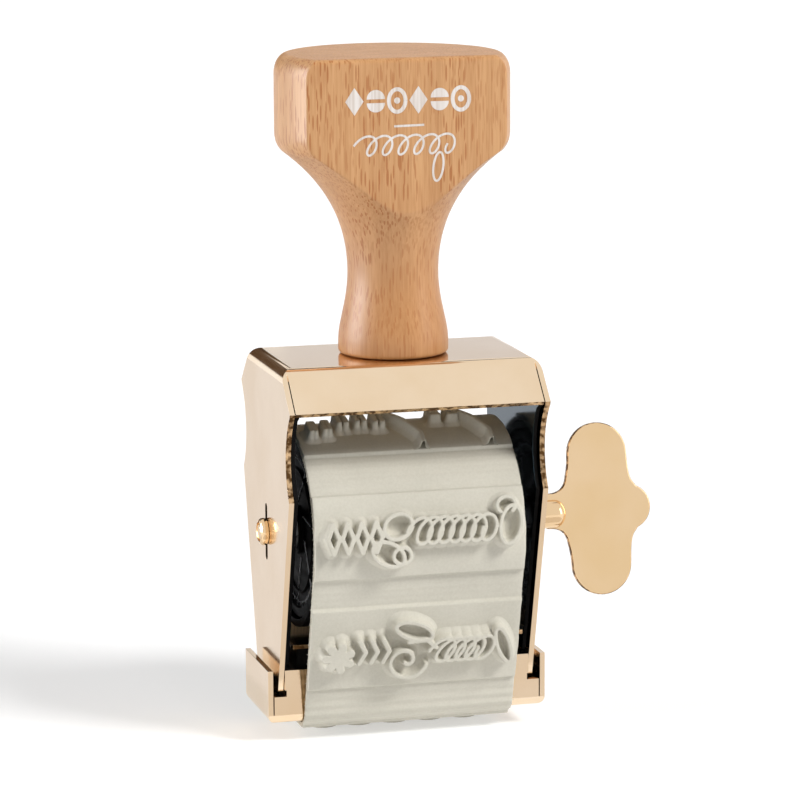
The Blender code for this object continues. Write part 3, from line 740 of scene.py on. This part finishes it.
def band_stretches():
    """The outer path from the middle of the base, up the front, over the drum and down.

    Each stretch is (length, function from distance to point and outward normal). Angles
    about a centre (y, z) start from straight down and turn towards the front.
    """
    foot_z = RELIEF + FOOT_RADIUS
    reach = Vector((FOOT_HALF_DEPTH, AXLE_Z - foot_z))
    lean = math.asin((PATH_RADIUS - FOOT_RADIUS) / reach.length) - math.atan2(reach.x, reach.y)
    side = math.sqrt(reach.length**2 - (PATH_RADIUS - FOOT_RADIUS) ** 2)
    foot_turn = math.pi / 2 - lean
    over = math.pi + 2 * lean

    def outward(angle):
        return Vector((-math.sin(angle), -math.cos(angle)))

    def curve(y, z, radius, angle, turn):
        """On round an arc about (y, z), from an angle and through a turn, in radians."""
        def at(s):
            normal = outward(angle + s / radius)
            return Vector((y, z)) + normal * radius, normal

        return radius * turn, at

    def line(y, z, radius, angle, length):
        """Straight on from an arc about (y, z), where it has reached an angle."""
        normal = outward(angle)
        ahead = Vector((normal.y, -normal.x))

        def at(s):
            return Vector((y, z)) + normal * radius + ahead * s, normal

        return length, at

    return [
        line(0, foot_z, FOOT_RADIUS, 0, FOOT_HALF_DEPTH),
        curve(-FOOT_HALF_DEPTH, foot_z, FOOT_RADIUS, 0, foot_turn),
        line(-FOOT_HALF_DEPTH, foot_z, FOOT_RADIUS, foot_turn, side),
        curve(0, AXLE_Z, PATH_RADIUS, foot_turn, over),
        line(0, AXLE_Z, PATH_RADIUS, foot_turn + over, side),
        curve(FOOT_HALF_DEPTH, foot_z, FOOT_RADIUS, foot_turn + over, foot_turn),
        line(FOOT_HALF_DEPTH, foot_z, FOOT_RADIUS, 0, FOOT_HALF_DEPTH),
    ]


STRETCHES = band_stretches()
BAND_LENGTH = sum(length for length, _ in STRETCHES)


def on_band(distance):
    """Point and outward normal at a distance along the band's outer path."""
    distance %= BAND_LENGTH
    for length, at in STRETCHES:
        if distance <= length:
            return at(distance)
        distance -= length
    return STRETCHES[0][1](0)


def band_surface(distances, across, height):
    """Points of a sheet laid on the path, (rows, columns, 3), height above it in millimetres."""
    placed = [on_band(s) for s in distances]
    points = np.array([tuple(point) for point, _ in placed])
    normals = np.array([tuple(normal) for _, normal in placed])
    yz = points[:, None, :] + normals[:, None, :] * height[:, :, None]
    x = np.broadcast_to(across, height.shape)
    return np.concatenate((x[:, :, None], yz), axis=-1)


def step(value, start, width):
    """Smooth rise from 0 to 1, width long, from start."""
    t = np.clip((value - start) / width, 0, 1)
    return t * t * (3 - 2 * t)


def plate_height(s):
    """Height of the band's own surface: plates, and lower strips with faint ridges between them."""
    plates = np.zeros_like(s)
    for start in PLATE_STARTS:
        here = (s - start + BAND_LENGTH / 2) % BAND_LENGTH - BAND_LENGTH / 2
        plates = np.maximum(plates, step(here, -0.1, 0.2) * (1 - step(here, PLATE_LENGTH - 0.6, 0.6)))
    ridges = 0.012 * np.sin(s * 2 * math.pi / 1.35) + 0.02 * np.sin(s * 2 * math.pi / 4.3)
    low = step(s, 8.0, 1.0) * (1 - step(s, 16.5, 1.5))
    ridges += 0.09 * low * np.sin(s * 2 * math.pi / 2.1)
    return -PLATE_DROP * plates + (ridges - STRIP_DROP) * (1 - plates)


def rubber_base():
    """The endless band: plates and strips, its edges softly rounded, closed round its inside."""
    s = np.arange(0, BAND_LENGTH, 0.15)
    edge = 0.25
    corner = np.array([0.0, 0.02, 0.08, 0.25, 0.55, 1.0]) * edge
    middle = np.linspace(-BAND_HALF_WIDTH + edge, BAND_HALF_WIDTH - edge, 34)
    across = np.concatenate((-BAND_HALF_WIDTH + corner, middle[1:-1], BAND_HALF_WIDTH - corner[::-1]))
    into = np.minimum(BAND_HALF_WIDTH - np.abs(across), edge)
    round_off = edge - np.sqrt(edge**2 - (edge - into) ** 2)
    wave = 0.02 * np.sin(across / 5.1 + 0.7)[None, :] * np.sin(s / 3.7)[:, None]
    top = plate_height(s)[:, None] - round_off[None, :] + wave * (into / edge)[None, :]
    wobble = 0.07 * np.sin(s * 0.9) * np.sin(s * 0.37 + 1.0)
    floor = np.full((len(s), 2), -BAND_BACKING)
    height = np.hstack((top, floor))
    across = np.concatenate((across, (BAND_HALF_WIDTH, -BAND_HALF_WIDTH)))
    outer = np.sign(across) * np.clip(np.abs(across) - BAND_HALF_WIDTH + 1, 0, 1)
    across = across[None, :] + (wobble[:, None] - 0.05) * outer[None, :]
    surface = band_surface(s, across, height)
    band = grid_object("rubber_band_base", surface, closed_rows=True, closed_columns=True)
    piece(band, "rubber", "frame", "rubber_band")


# Relief ornaments. A stroke is (points, half width); u runs along X, v up the band from
# the middle of the plate. None of them is a letter or a mark.


def loop_line(u, v, width, height, turns, lean=0.35):
    """A chain of loops that travels in +u, like a coiled thread seen from the side."""
    t = np.linspace(0, turns * 2 * math.pi, turns * 36)
    radius = height / 2
    reach = 0.8 * radius
    travel = (width - 2 * reach) * t / t[-1]
    x = u + reach + travel - reach * np.cos(t) + lean * radius * np.sin(t)
    return np.stack((x, v + radius * np.sin(t)), axis=1)


def ellipse(u, v, wide, high, turn=0.0, first=0.0, last=360.0):
    """An ellipse or part of one, wide by high, turned in degrees."""
    t = np.radians(np.linspace(first, last, 56))
    x, y = wide / 2 * np.cos(t), high / 2 * np.sin(t)
    cosine, sine = math.cos(math.radians(turn)), math.sin(math.radians(turn))
    return np.stack((u + x * cosine - y * sine, v + x * sine + y * cosine), axis=1)


def scroll(u, v, size, turns, turn):
    """A spiral that opens outwards from (u, v)."""
    t = np.linspace(0.12, 1, 80)
    a = 2 * math.pi * turns * t + math.radians(turn)
    return np.stack((u + size * t * np.cos(a), v + size * t * np.sin(a)), axis=1)


def run(*points):
    """A broken line through the points."""
    return np.array(points, float)


def flower(u, v, petals, reach):
    """Thick petals round a centre."""
    strokes = []
    for k in range(petals):
        a = 2 * math.pi * k / petals + 0.4
        ends = [(u + d * math.cos(a), v + d * math.sin(a)) for d in (0.35 * reach, 0.72 * reach)]
        strokes.append((run(*ends), 0.24 * reach))
    return strokes


def dot(u, v, radius):
    """A stroke so short that it is round."""
    return run((u, v), (u + 0.01, v)), radius


def plate_of_lozenges_and_loops():
    """Four hollow lozenges, three rings that meet, a chain of loops and a tall loop at the end."""
    strokes = [
        (ellipse(-4.9, 1.6, 5.6, 4.2, 20), 0.34),
        (ellipse(-6.9, -3.2, 6.6, 4.0, -25), 0.34),
        (ellipse(-4.2, -3.6, 3.4, 3.0), 0.32),
        (loop_line(-3.2, 0.6, 18.4, 4.6, 7), 0.3),
        (ellipse(17.0, 0.8, 4.0, 6.8, -14), 0.32),
        (ellipse(16.3, 4.3, 3.6, 2.9, 10, -60, 220), 0.32),
    ]
    for k in range(4):
        u = -17.4 + 2.75 * k
        strokes.append((run((u, -2.6), (u + 1.1, 0), (u, 2.6), (u - 1.1, 0), (u, -2.6)), 0.4))
    return strokes


def plate_of_flower_and_scrolls():
    """A flower, three chevrons, a large double scroll, a chain of loops and a slim leaf."""
    strokes = [
        *flower(-15.4, -0.9, 7, 3.4),
        dot(-15.4, -0.9, 1.0),
        (scroll(-2.3, -2.3, 4.3, 1.4, 200), 0.36),
        (ellipse(-0.9, 3.9, 7.6, 3.4, -20), 0.36),
        (run((-1.8, 1.7), (1.6, 2.0), (3.6, 0.2)), 0.4),
        (loop_line(2.2, -0.5, 13.6, 4.9, 5, 0.5), 0.32),
        (ellipse(16.9, -0.3, 2.4, 7.8, 20), 0.34),
    ]
    for k in range(3):
        u = -11.4 + 2.3 * k
        strokes.append((run((u, -2.2), (u + 1.2, 0.1), (u, 2.4)), 0.42))
    return strokes


def plate_of_blocks():
    """Upright blocks on the left and two long slanting walls, with blocks between them."""
    strokes = []
    for u, low, high, side, half in (
        (-17.7, -3.9, -0.9, 0.45, 0.4),
        (-14.9, -3.6, -0.7, 0.45, 0.4),
        (-11.4, -1.4, 2.5, 0.7, 0.45),
        (-7.8, -1.2, 2.5, 0.7, 0.45),
        (-4.4, -1.8, 2.0, 0.7, 0.45),
    ):
        outline = run((u - side, low), (u - side, high), (u + side, high), (u + side, low))
        strokes.append((outline, half))
    for u in (3.2, 16.6):
        strokes.append((run((u - 6.4, 3.6), (u - 3.0, -1.4), (u - 0.6, -6.0), (u - 0.6, -8.3)), 0.42))
    for u in (7.0, 10.4):
        strokes.append((run((u - 0.6, -0.2), (u + 0.6, -0.2), (u + 0.4, 3.4), (u - 0.5, 3.4)), 0.5))
    return strokes


def plate_of_waves():
    """Three wavy lines between two rows of dots."""
    t = np.linspace(-17.2, 17.2, 120)
    waves = [np.stack((t, 1.9 * k + 0.8 * np.sin(t * 0.9 + k)), axis=1) for k in (-1, 0, 1)]
    dots = [dot(-16.8 + 3.05 * k, v, 0.55) for k in range(12) for v in (-4.6, 4.6)]
    return [(wave, 0.28) for wave in waves] + dots


def plate_of_leaves():
    """A stem with paired leaves."""
    strokes = [(run((-17.0, -0.6), (-6.0, 0.4), (6.0, -0.4), (17.0, 0.6)), 0.25)]
    for k in range(9):
        for side in (-1, 1):
            strokes.append((ellipse(-13.8 + 3.6 * k, side * 2.4, 4.0, 1.7, side * 48), 0.24))
    return strokes


def plate_of_rings():
    """A row of ringed stars."""
    strokes = []
    for k in range(5):
        u = -14.0 + 7.0 * k
        strokes += [(ellipse(u, -2.6, 5.6, 5.6), 0.3), *flower(u, -2.6, 5, 1.9)]
    return strokes


ORNAMENTS = (
    plate_of_rings,
    plate_of_flower_and_scrolls,
    plate_of_lozenges_and_loops,
    plate_of_blocks,
    plate_of_waves,
    plate_of_leaves,
)


def distance_to(points, u, v):
    """Distance from each place to a broken line."""
    best = np.full(u.shape, 1e9)
    for (x0, y0), (x1, y1) in zip(points[:-1], points[1:]):
        dx, dy = x1 - x0, y1 - y0
        length = dx * dx + dy * dy + 1e-12
        t = np.clip(((u - x0) * dx + (v - y0) * dy) / length, 0, 1)
        best = np.minimum(best, (u - x0 - t * dx) ** 2 + (v - y0 - t * dy) ** 2)
    return np.sqrt(best)


def stroke_height(d):
    """Height against distance from a stroke's edge: flat top, steep wall, then a wide skirt."""
    wall, skirt, shoulder = 0.3, 1.35, 0.3
    upper = 1 - (1 - shoulder) * step(d, -0.03, wall)
    lower = shoulder * np.clip(1 - (d - wall) / (skirt - wall), 0, 1) ** 1.7
    return np.where(d < wall, upper, lower)


def relief(number):
    """One plate's raised ornament, as a sheet whose rim lies just under the plate's face."""
    across = np.arange(-BAND_HALF_WIDTH + 0.3, BAND_HALF_WIDTH - 0.3, RELIEF_CELL)
    up = np.arange(-PLATE_LENGTH / 2, PLATE_LENGTH / 2 - 0.9, RELIEF_CELL)
    u, v = np.meshgrid(across, up)
    nearest = np.full(u.shape, 9.0)
    for points, half in ORNAMENTS[number]():
        low, high = points.min(0) - STROKE_REACH, points.max(0) + STROKE_REACH
        near = (u > low[0]) & (u < high[0]) & (v > low[1]) & (v < high[1])
        d = distance_to(points, u[near], v[near]) - half
        nearest[near] = np.minimum(nearest[near], d)
    sunk = 0.06
    height = (RELIEF + PLATE_DROP + sunk) * stroke_height(nearest) - PLATE_DROP - sunk
    raised = height > -PLATE_DROP
    keep = raised[:-1, :-1] | raised[1:, :-1] | raised[:-1, 1:] | raised[1:, 1:]
    middle = PLATE_STARTS[number] + PLATE_LENGTH / 2
    surface = band_surface(middle + up, across, height)
    made = grid_object(f"relief_{number}", surface, keep=keep)
    piece(made, "rubber", "frame", "rubber_band")


def carrier_belt():
    """Woven belt under the rubber. Its loose thread ends along both edges are made by frayed_edges."""
    s = np.arange(0, BAND_LENGTH, 0.4)
    outer = -BAND_BACKING - BELT_GAP
    inner = outer - BELT_THICKNESS
    across = np.array([-BAND_HALF_WIDTH, BAND_HALF_WIDTH, BAND_HALF_WIDTH, -BAND_HALF_WIDTH])
    height = np.tile((outer, outer, inner, inner), (len(s), 1))
    surface = band_surface(s, across, height)
    belt = grid_object("carrier_belt_look", surface, closed_rows=True, closed_columns=True)
    belt.data.set_sharp_from_angle(angle=math.radians(SHARP_ANGLE))
    piece(belt, "cloth", "frame", "carrier_belt")


def thread_corners(s, side, random):
    """Corners of one bent thread end: three round its root, its middle and its tip."""
    s += random.uniform(-0.15, 0.15)
    length = random.uniform(0.12, 0.42)
    lift = random.uniform(-0.25, 0.3)
    drift = random.uniform(-0.3, 0.3)
    thick = random.uniform(0.05, 0.09)
    base = -BAND_BACKING - random.uniform(0.02, 0.28)
    corners = []
    for t in (0.0, 0.5, 1.0):
        point, normal = on_band(s + drift * t)
        ahead = Vector((normal.y, -normal.x))
        x = side * (BAND_HALF_WIDTH - 0.15 + length * t)
        for up, along in arc(0, 0, thick * (1 - 0.5 * t), 0, 240, 2):
            place = point + normal * (base + lift * t * t + up) + ahead * along
            corners.append((x, place.x, place.y))
    return corners


def frayed_edges():
    """Short bent thread ends that stand out of the belt's edges."""
    random = np.random.default_rng(7)
    verts, faces = [], []
    for side in (-1, 1):
        for s in np.arange(0, BAND_LENGTH, THREAD_PITCH):
            start = len(verts)
            verts += thread_corners(s, side, random)
            for a, b in ((0, 1), (1, 2), (2, 0), (3, 4), (4, 5), (5, 3)):
                faces.append((start + a, start + b, start + b + 3, start + a + 3))
            faces += [(start + 6, start + 7, start + 8), (start + 2, start + 1, start)]
    mesh = bpy.data.meshes.new("belt_threads")
    mesh.from_pydata([tuple(c * MM for c in v) for v in verts], [], faces)
    mesh.shade_smooth()
    piece(linked("belt_threads", mesh), "cloth", "frame")


# ---------------------------------------------------------------- drum, axle and key


def drum():
    """Sleeve that carries the band, and a spoked wheel in each of its ends."""
    inner = DRUM_RADIUS - DRUM_WALL
    half = DRUM_HALF_WIDTH
    sleeve = ((inner, -half), (DRUM_RADIUS, -half), (DRUM_RADIUS, half), (inner, half))
    made = turned("drum_sleeve_look", sleeve, "X", 128, True, (0, 0, AXLE_Z))
    soften(made, 0.2)
    piece(made, "black", "drum", "drum_sleeve")
    for side, node in ((-1, "drum_wheel_left"), (1, "drum_wheel_right")):
        rim = inner - WHEEL_GAP
        # Each point's radius, and its depth below the wheel's outer face
        section = (
            (AXLE_RADIUS + WHEEL_GAP, 3.2),
            (rim, 3.2),
            (rim, 0),
            (rim - 1.8, 0),
            (rim - 1.95, 0.45),
            (rim - 2.2, 0.6),
            (12.2, 0.6),
            (12.1, 0.25),
            (11.7, 0.25),
            (11.6, 0.6),
            (5.0, 0.6),
            (4.7, 0.4),
            (4.6, 0),
            (AXLE_RADIUS + WHEEL_GAP, 0),
        )
        profile = [(radius, side * (WHEEL_OUTER - depth)) for radius, depth in section]
        wheel = turned(f"{node}_look", profile, "X", 128, True, (0, 0, AXLE_Z))
        soften(wheel, 0.18)
        piece(wheel, "black", "drum", node)
        # The ridges are painted light grey, a painted highlight on the black wheel.
        piece(wheel_ridges(f"{node}_ridges", side, rim), "ridge_highlight", "drum")


def wheel_ridges(name, side, rim):
    """Thin moulded ribs on a drum wheel: a toothed ring and seven swept spokes."""
    ring = rim - 2.9
    lines = [arc(0, 0, ring, 0, 360, 72)]
    for count, lag, near, far in ((28, 0, (ring, 0), (rim - 1.5, 0)), (7, 0.3, (5.4, -0.5), (ring, 0))):
        for k in range(count):
            a = 2 * math.pi * (k + lag) / count
            lines.append([(r * math.cos(a + t), r * math.sin(a + t)) for r, t in (near, far)])
    made = bmesh.new()
    top = side * (WHEEL_OUTER - 0.45)
    for line in lines:
        left, right = ribbon_sides(line, RIDGE_WIDTH)
        for corners in zip(left[:-1], left[1:], right[1:], right[:-1]):
            low, high = (
                [made.verts.new((x, y, AXLE_Z + z)) for y, z in corners] for x in (top - side * 0.3, top)
            )
            made.faces.new(high)
            for i in range(4):
                made.faces.new((low[i], low[(i + 1) % 4], high[(i + 1) % 4], high[i]))
    return object_of(name, made)


def axle():
    """Rod from the split clip on the left to the rounded, slotted end that holds the key."""
    left_end = -FRAME_HALF_WIDTH - CLIP_LENGTH
    step_x = 0.4 - (FRAME_HALF_WIDTH - SHEET)
    shaft_start = FRAME_HALF_WIDTH - SHEET - CHEEK_GAP - CHEEK - 0.15
    profile = [(0, left_end), (AXLE_END_RADIUS - 0.5, left_end), (AXLE_END_RADIUS, left_end + 0.4)]
    profile += [(AXLE_END_RADIUS, step_x), (AXLE_RADIUS, step_x), (AXLE_RADIUS, shaft_start)]
    profile += [(SHAFT_RADIUS, shaft_start), (SHAFT_RADIUS, SHAFT_END - SHAFT_DOME)]
    dome = SHAFT_END - SHAFT_DOME
    profile += quarter(SHAFT_RADIUS, dome, SHAFT_RADIUS, SHAFT_DOME, 8)[1:-1] + [(0, SHAFT_END)]
    rod = turned("axle_look", profile, "X", 64, centre=(0, 0, AXLE_Z))
    half = KEY_THICKNESS / 2 + 0.1
    slot = box("key_slot", (KEY_START - 0.3, -half, -5), (SHAFT_END + 2, half, 5))
    slot.location.z = AXLE_Z * MM
    slot.rotation_euler.x = -math.radians(KEY_LEAN)
    cut(rod, slot)
    soften(rod, 0.12)
    piece(rod, "warm_gold", "drum", "axle")


def axle_clip():
    """Split barrel clip on the axle's left end."""
    high = -FRAME_HALF_WIDTH - HOLE_FIT
    low = high - CLIP_LENGTH
    inner = AXLE_END_RADIUS + HOLE_FIT
    profile = [(inner, high), (CLIP_RADIUS - 0.15, high), (CLIP_RADIUS, high - 0.35)]
    profile += quarter(CLIP_RADIUS, low + 0.75, 0.7, -0.75, 6) + [(inner, low + 0.02)]
    clip = turned("axle_clip_look", profile, "X", 64, True, (0, 0, AXLE_Z))
    split = box("clip_split", (low - 1, -0.35, 0), (high + 1, 0.35, 5))
    split.location.z = AXLE_Z * MM
    cut(clip, split)
    soften(clip, 0.06)
    piece(clip, "warm_gold", "drum", "axle_clip")


def key_outline():
    """Clover-shaped key plate with a neck towards the frame, as (x, z) points."""
    lobe = 6.0
    lobe_z = KEY_HALF_HEIGHT - lobe
    neck_x, eye_x, eye = KEY_CENTRE - 6.9, KEY_CENTRE + 6.0, 4.4
    upper = [(KEY_START, 3.4), (KEY_START + 1.6, 3.5)]
    upper += bezier(upper[-1], (neck_x - 1.0, 3.8), (neck_x - 0.4, 4.2), (neck_x + 0.15, 5.6), 6)
    side_x = KEY_CENTRE - lobe
    upper += bezier(upper[-1], (neck_x + 0.5, 7.4), (side_x, 8.6), (side_x, lobe_z), 6)
    upper += arc(KEY_CENTRE, lobe_z, lobe, 180, 8, 26)[1:]
    waist = (KEY_CENTRE + 7.1, 4.9)
    upper += bezier(upper[-1], (KEY_CENTRE + 6.2, 9.2), (KEY_CENTRE + 6.0, 6.2), waist, 8)
    start = arc(eye_x, 0, eye, 62, 0, 14)
    upper += bezier(waist, (waist[0] + 0.5, 4.4), (start[0][0] - 0.6, start[0][1] + 0.25), start[0], 5)
    upper += start[1:]
    lower = [(u, -v) for u, v in reversed(upper[:-1])]
    return [(u, v + KEY_RISE) for u, v in upper + lower]


def key_plate():
    """Flat key, leaning in the slot of the axle's right end."""
    half = KEY_THICKNESS / 2
    plate = prism("key_plate_look", key_outline(), "Y", -half, half)
    soften(plate, 0.3, 3, 50)
    plate.location.z = AXLE_Z * MM
    plate.rotation_euler.x = -math.radians(KEY_LEAN)
    piece(plate, "warm_gold", "drum", "key_plate")
    # The key's edges get the dark edge colour, partly sheared metal and partly painted shade.
    repaint(plate, "cut_edge_and_shade", lambda place, normal: abs(normal.y) < 0.8)


# ---------------------------------------------------------------- handle


def handle_profile():
    """Half section of the turned handle, as (radius, z) from its base up."""
    start = (10.5, HANDLE_BASE_Z + 2.4)
    waist = (8.65, 88.6)
    shoulder = (21.0, 111.9)
    head = (22.3, 115.6)
    profile = [(9.7, HANDLE_BASE_Z)]
    profile += [*arc(9.7, HANDLE_BASE_Z + 0.8, 0.8, -90, 0, 5)[1:], start]
    profile += bezier(start, (start[0], 79.0), (waist[0], 83.0), waist, 26)
    profile += bezier(waist, (waist[0], 97.5), (12.2, 105.3), shoulder, 60)
    profile += bezier(shoulder, (21.9, 112.8), (head[0], 113.9), head, 14)
    profile += [(head[0], z) for z in np.linspace(head[1], HANDLE_TOP - 3.8, 22)[1:-1]]
    return profile + quarter(head[0], HANDLE_TOP - 3.8, 2.5, 3.8, 14)


def handle_ring(radius, z):
    """Points of one level of the handle: a circle with its front cut off, the edges eased."""
    above = min(max(0.0, z - (HANDLE_TOP - HANDLE_EASE)), HANDLE_EASE)
    flat = HANDLE_FLAT - (HANDLE_EASE - math.sqrt(HANDLE_EASE**2 - above**2))
    # Half the angle that the flat takes up, with points closer together beside its edge
    edge = max(math.acos(flat / radius) if radius > flat else 0.0, 0.012)
    near = np.array([0.12, 0.25, 0.4, 0.6, 0.9]) / radius
    near_front = near * min(1.0, 0.8 * edge / near[-1])
    front = np.concatenate((np.linspace(0, edge - near_front[-1], 14), edge - near_front[-2::-1]))
    back = np.concatenate((edge + near, np.linspace(edge + near[-1], math.pi, 62)[1:]))
    half = np.concatenate((front, [edge], back))
    angle = np.concatenate((half, -half[-2:0:-1]))
    plane = flat / np.maximum(np.cos(angle), 1e-6)
    # The nearer of the flat and the circle, blended where they meet
    gap = np.clip(0.5 + 0.5 * (plane - radius) / HANDLE_BLEND, 0, 1)
    reach = plane + (radius - plane) * gap - HANDLE_BLEND * gap * (1 - gap)
    reach = np.where(np.cos(angle) > 0.05, reach, radius)
    return np.stack((reach * np.sin(angle), -reach * np.cos(angle), np.full(angle.shape, z)), axis=1)


def handle():
    """Turned beech handle: a waist under a round head that is cut flat at the front."""
    profile = handle_profile()
    levels = []
    for (r0, z0), (r1, z1) in zip(profile[:-1], profile[1:]):
        # Closer levels where the flat front begins
        pieces = 6 if r0 < HANDLE_FLAT + 1.5 and r1 > HANDLE_FLAT - 0.6 and z0 > 95 else 1
        levels += [(r0 + (r1 - r0) * k / pieces, z0 + (z1 - z0) * k / pieces) for k in range(pieces)]
    levels.append(profile[-1])
    rings = [handle_ring(radius, z) for radius, z in levels]
    base = [rings[0] * (share, share, 1) for share in (0.0, 0.3, 0.6, 0.95)]
    lid = [rings[-1] * (share, share, 1) for share in (0.985, 0.96, 0.9, 0.7, 0.4, 0.15, 0.0)]
    rings = base + rings + lid
    made = grid_object("handle_look", np.array(rings), closed_columns=True)
    weld = made.modifiers.new("weld", "WELD")
    weld.merge_threshold = 0.001 * MM
    piece(settle(made), "beech", "frame", "handle")


def handle_print():
    """White printed ornament: a row of bold plain shapes over a looping line."""
    front = -HANDLE_FLAT - 0.03
    made = bmesh.new()

    def fill(outline):
        made.faces.new([made.verts.new((u, front, v)) for u, v in outline])

    def ribbon(points, width):
        corners = []
        for number, (a, b) in enumerate(zip(*ribbon_sides(points, width))):
            level = front - 0.02 * number / len(points)
            corners.append([made.verts.new((c[0], level, c[1])) for c in (a, b)])
        for (a, b), (c, d) in zip(corners[:-1], corners[1:]):
            made.faces.new((a, b, d, c))

    pitch, middle, size = 4.1, 122.2, 5.2
    for k in range(6):
        u = -10.2 + pitch * k
        if k % 3 == 0:
            half = size / 2
            fill(((u, middle - half), (u + 1.75, middle), (u, middle + half), (u - 1.75, middle)))
        elif k % 3 == 1:
            for first, apart in ((0, 0.35), (180, -0.35)):
                fill(arc(u, middle + apart, 1.75, first, first + 180, 20))
        else:
            ribbon(ellipse(u, middle, 3.2, size - 1.0), 0.75)
            fill(arc(u, middle, 0.6, 0, 345, 16))
    ribbon(loop_line(-10.4, 113.9, 21.0, 3.6, 6, 0.4), 0.42)
    ribbon(ellipse(5.9, 109.6, 1.9, 5.4, -8), 0.42)
    ribbon(((-2.6, 117.4), (3.2, 117.5)), 0.42)
    bmesh.ops.recalc_face_normals(made, faces=made.faces)
    for face in made.faces:
        if face.normal.y > 0:
            face.normal_flip()
    obj = linked("handle_print", mesh_of("handle_print", made))
    obj.data.materials.append(print_finish())
    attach(obj, "frame")


# ---------------------------------------------------------------- stage


def aimed(place, target):
    """World matrix of a light or card at a place, in millimetres, that faces a target."""
    back = (Vector(place) - Vector(target)).normalized()
    return Matrix.Translation(Vector(place) * MM) @ back.to_track_quat("Z", "Y").to_matrix().to_4x4()


def studio_world(fill, gloss):
    """White surroundings, brighter as polished surfaces see them than as the fill light."""
    world = bpy.data.worlds.new("studio")
    world.use_nodes = True
    tree = world.node_tree
    path = tree.nodes.new("ShaderNodeLightPath")
    strength = tree.nodes.new("ShaderNodeMapRange")
    strength.inputs["To Min"].default_value = gloss
    strength.inputs["To Max"].default_value = fill
    tree.links.new(path.outputs["Is Diffuse Ray"], strength.inputs["Value"])
    tree.links.new(strength.outputs["Result"], tree.nodes["Background"].inputs["Strength"])
    tree.nodes["Background"].inputs["Color"].default_value = (1.0, 1.0, 1.0, 1.0)
    bpy.context.scene.world = world


def sun(name, azimuth, elevation, strength, spread):
    """Broad soft light. Azimuth 0 shines from the front, 90 from the key's side."""
    data = bpy.data.lights.new(name, "SUN")
    data.energy = strength
    data.angle = math.radians(spread)
    obj = linked(name, data)
    a, e = math.radians(azimuth), math.radians(elevation)
    place = (math.sin(a) * math.cos(e), -math.cos(a) * math.cos(e), math.sin(e))
    obj.matrix_world = aimed([1000 * c for c in place], (0, 0, 0))
    obj.visible_glossy = False


def sheen(name, place, size, power, target=(0, 0, 90)):
    """A softbox that shows only in glossy surfaces."""
    data = bpy.data.lights.new(name, "AREA")
    data.shape = "RECTANGLE"
    data.size, data.size_y = (s * MM for s in size)
    data.energy = power
    obj = linked(name, data)
    obj.matrix_world = aimed(place, target)
    obj.visible_diffuse = False


def card(name, place, size, glow, target=(0, 0, 60)):
    """A card that only polished surfaces see, such as the dark end of a studio."""
    made = bmesh.new()
    u, v = size[0] / 2, size[1] / 2
    corners = ((-u, -v), (u, -v), (u, v), (-u, v))
    made.faces.new([made.verts.new((*corner, 0)) for corner in corners])
    obj = object_of(name, made)
    obj.matrix_world = aimed(place, target)
    shader = Shader(name, (0.0, 0.0, 0.0), 1.0)
    shader.surface({"Emission Color": (*glow, 1.0), "Emission Strength": 1.0})
    shader.surface({"Specular IOR Level": 0.0})
    obj.data.materials.append(shader.material)
    obj.visible_camera = False
    obj.visible_diffuse = False
    obj.visible_shadow = False


def stage():
    """Floor, lights and the cards that the polished faces mirror."""
    floor = box("floor", (-FLOOR_REACH, -FLOOR_REACH, -10), (FLOOR_REACH, FLOOR_REACH, 0))
    floor.data.materials.append(floor_finish())
    studio_world(0.27, 0.93)
    sun("key_light", 46, 42, 2.95, 18)
    sun("left_light", -94, 18, 1.75, 40)
    sheen("left_sheen", (-700, 150, 160), (500, 600), 9.0)
    sheen("right_sheen", (650, -350, 300), (250, 500), 1.2)
    dark = (0.03, 0.02, 0.015)
    card("studio_dark_end", (-205, 1500, 370), (1050, 480), (0.10, 0.06, 0.035))
    card("studio_wall", (530, 1500, 370), (420, 480), (0.74, 0.73, 0.75))
    card("studio_beam", (0, 1100, 900), (1900, 260), dark)
    card("studio_low_card", (0, 215, 1), (60, 150), dark, (0, 215, 100))
    card("studio_side_tint", (-95, 230, 1), (120, 420), (0.86, 0.85, 0.86), (-95, 230, 100))
    card("studio_front_tint", (20, -75, 1), (170, 110), (0.82, 0.78, 0.75), (20, -75, 100))
    bpy.context.scene.view_settings.view_transform = "Standard"


def camera():
    """Long lens that looks down at the object from the front and a little to the left."""
    angles = (CAMERA_AZIMUTH, CAMERA_ELEVATION, CAMERA_ROLL)
    azimuth, elevation, roll = (math.radians(angle) for angle in angles)
    data = bpy.data.cameras.new("camera")
    data.lens = CAMERA_LENS
    data.sensor_width = CAMERA_SENSOR
    heading = Matrix.Rotation(-azimuth, 4, "Z") @ Matrix.Rotation(math.pi / 2 - elevation, 4, "X")
    obj = linked("camera", data)
    place = Matrix.Translation(Vector(CAMERA_PLACE) * MM)
    obj.matrix_world = place @ heading @ Matrix.Rotation(roll, 4, "Z")
    bpy.context.scene.camera = obj


def main():
    camera()
    stage()
    frame_shell()
    cheek("cheek_left", -1)
    cheek("cheek_right", 1)
    base_tray()
    platen()
    rubber_base()
    for number in range(len(PLATE_STARTS)):
        relief(number)
    carrier_belt()
    frayed_edges()
    drum()
    axle()
    axle_clip()
    key_plate()
    handle()
    handle_print()
    for kind in ("platen_screw", "handle_screw", "drive_pin", "spacer"):
        for side in ("left", "right"):
            dress(f"{kind}_{side}", "steel")


main()
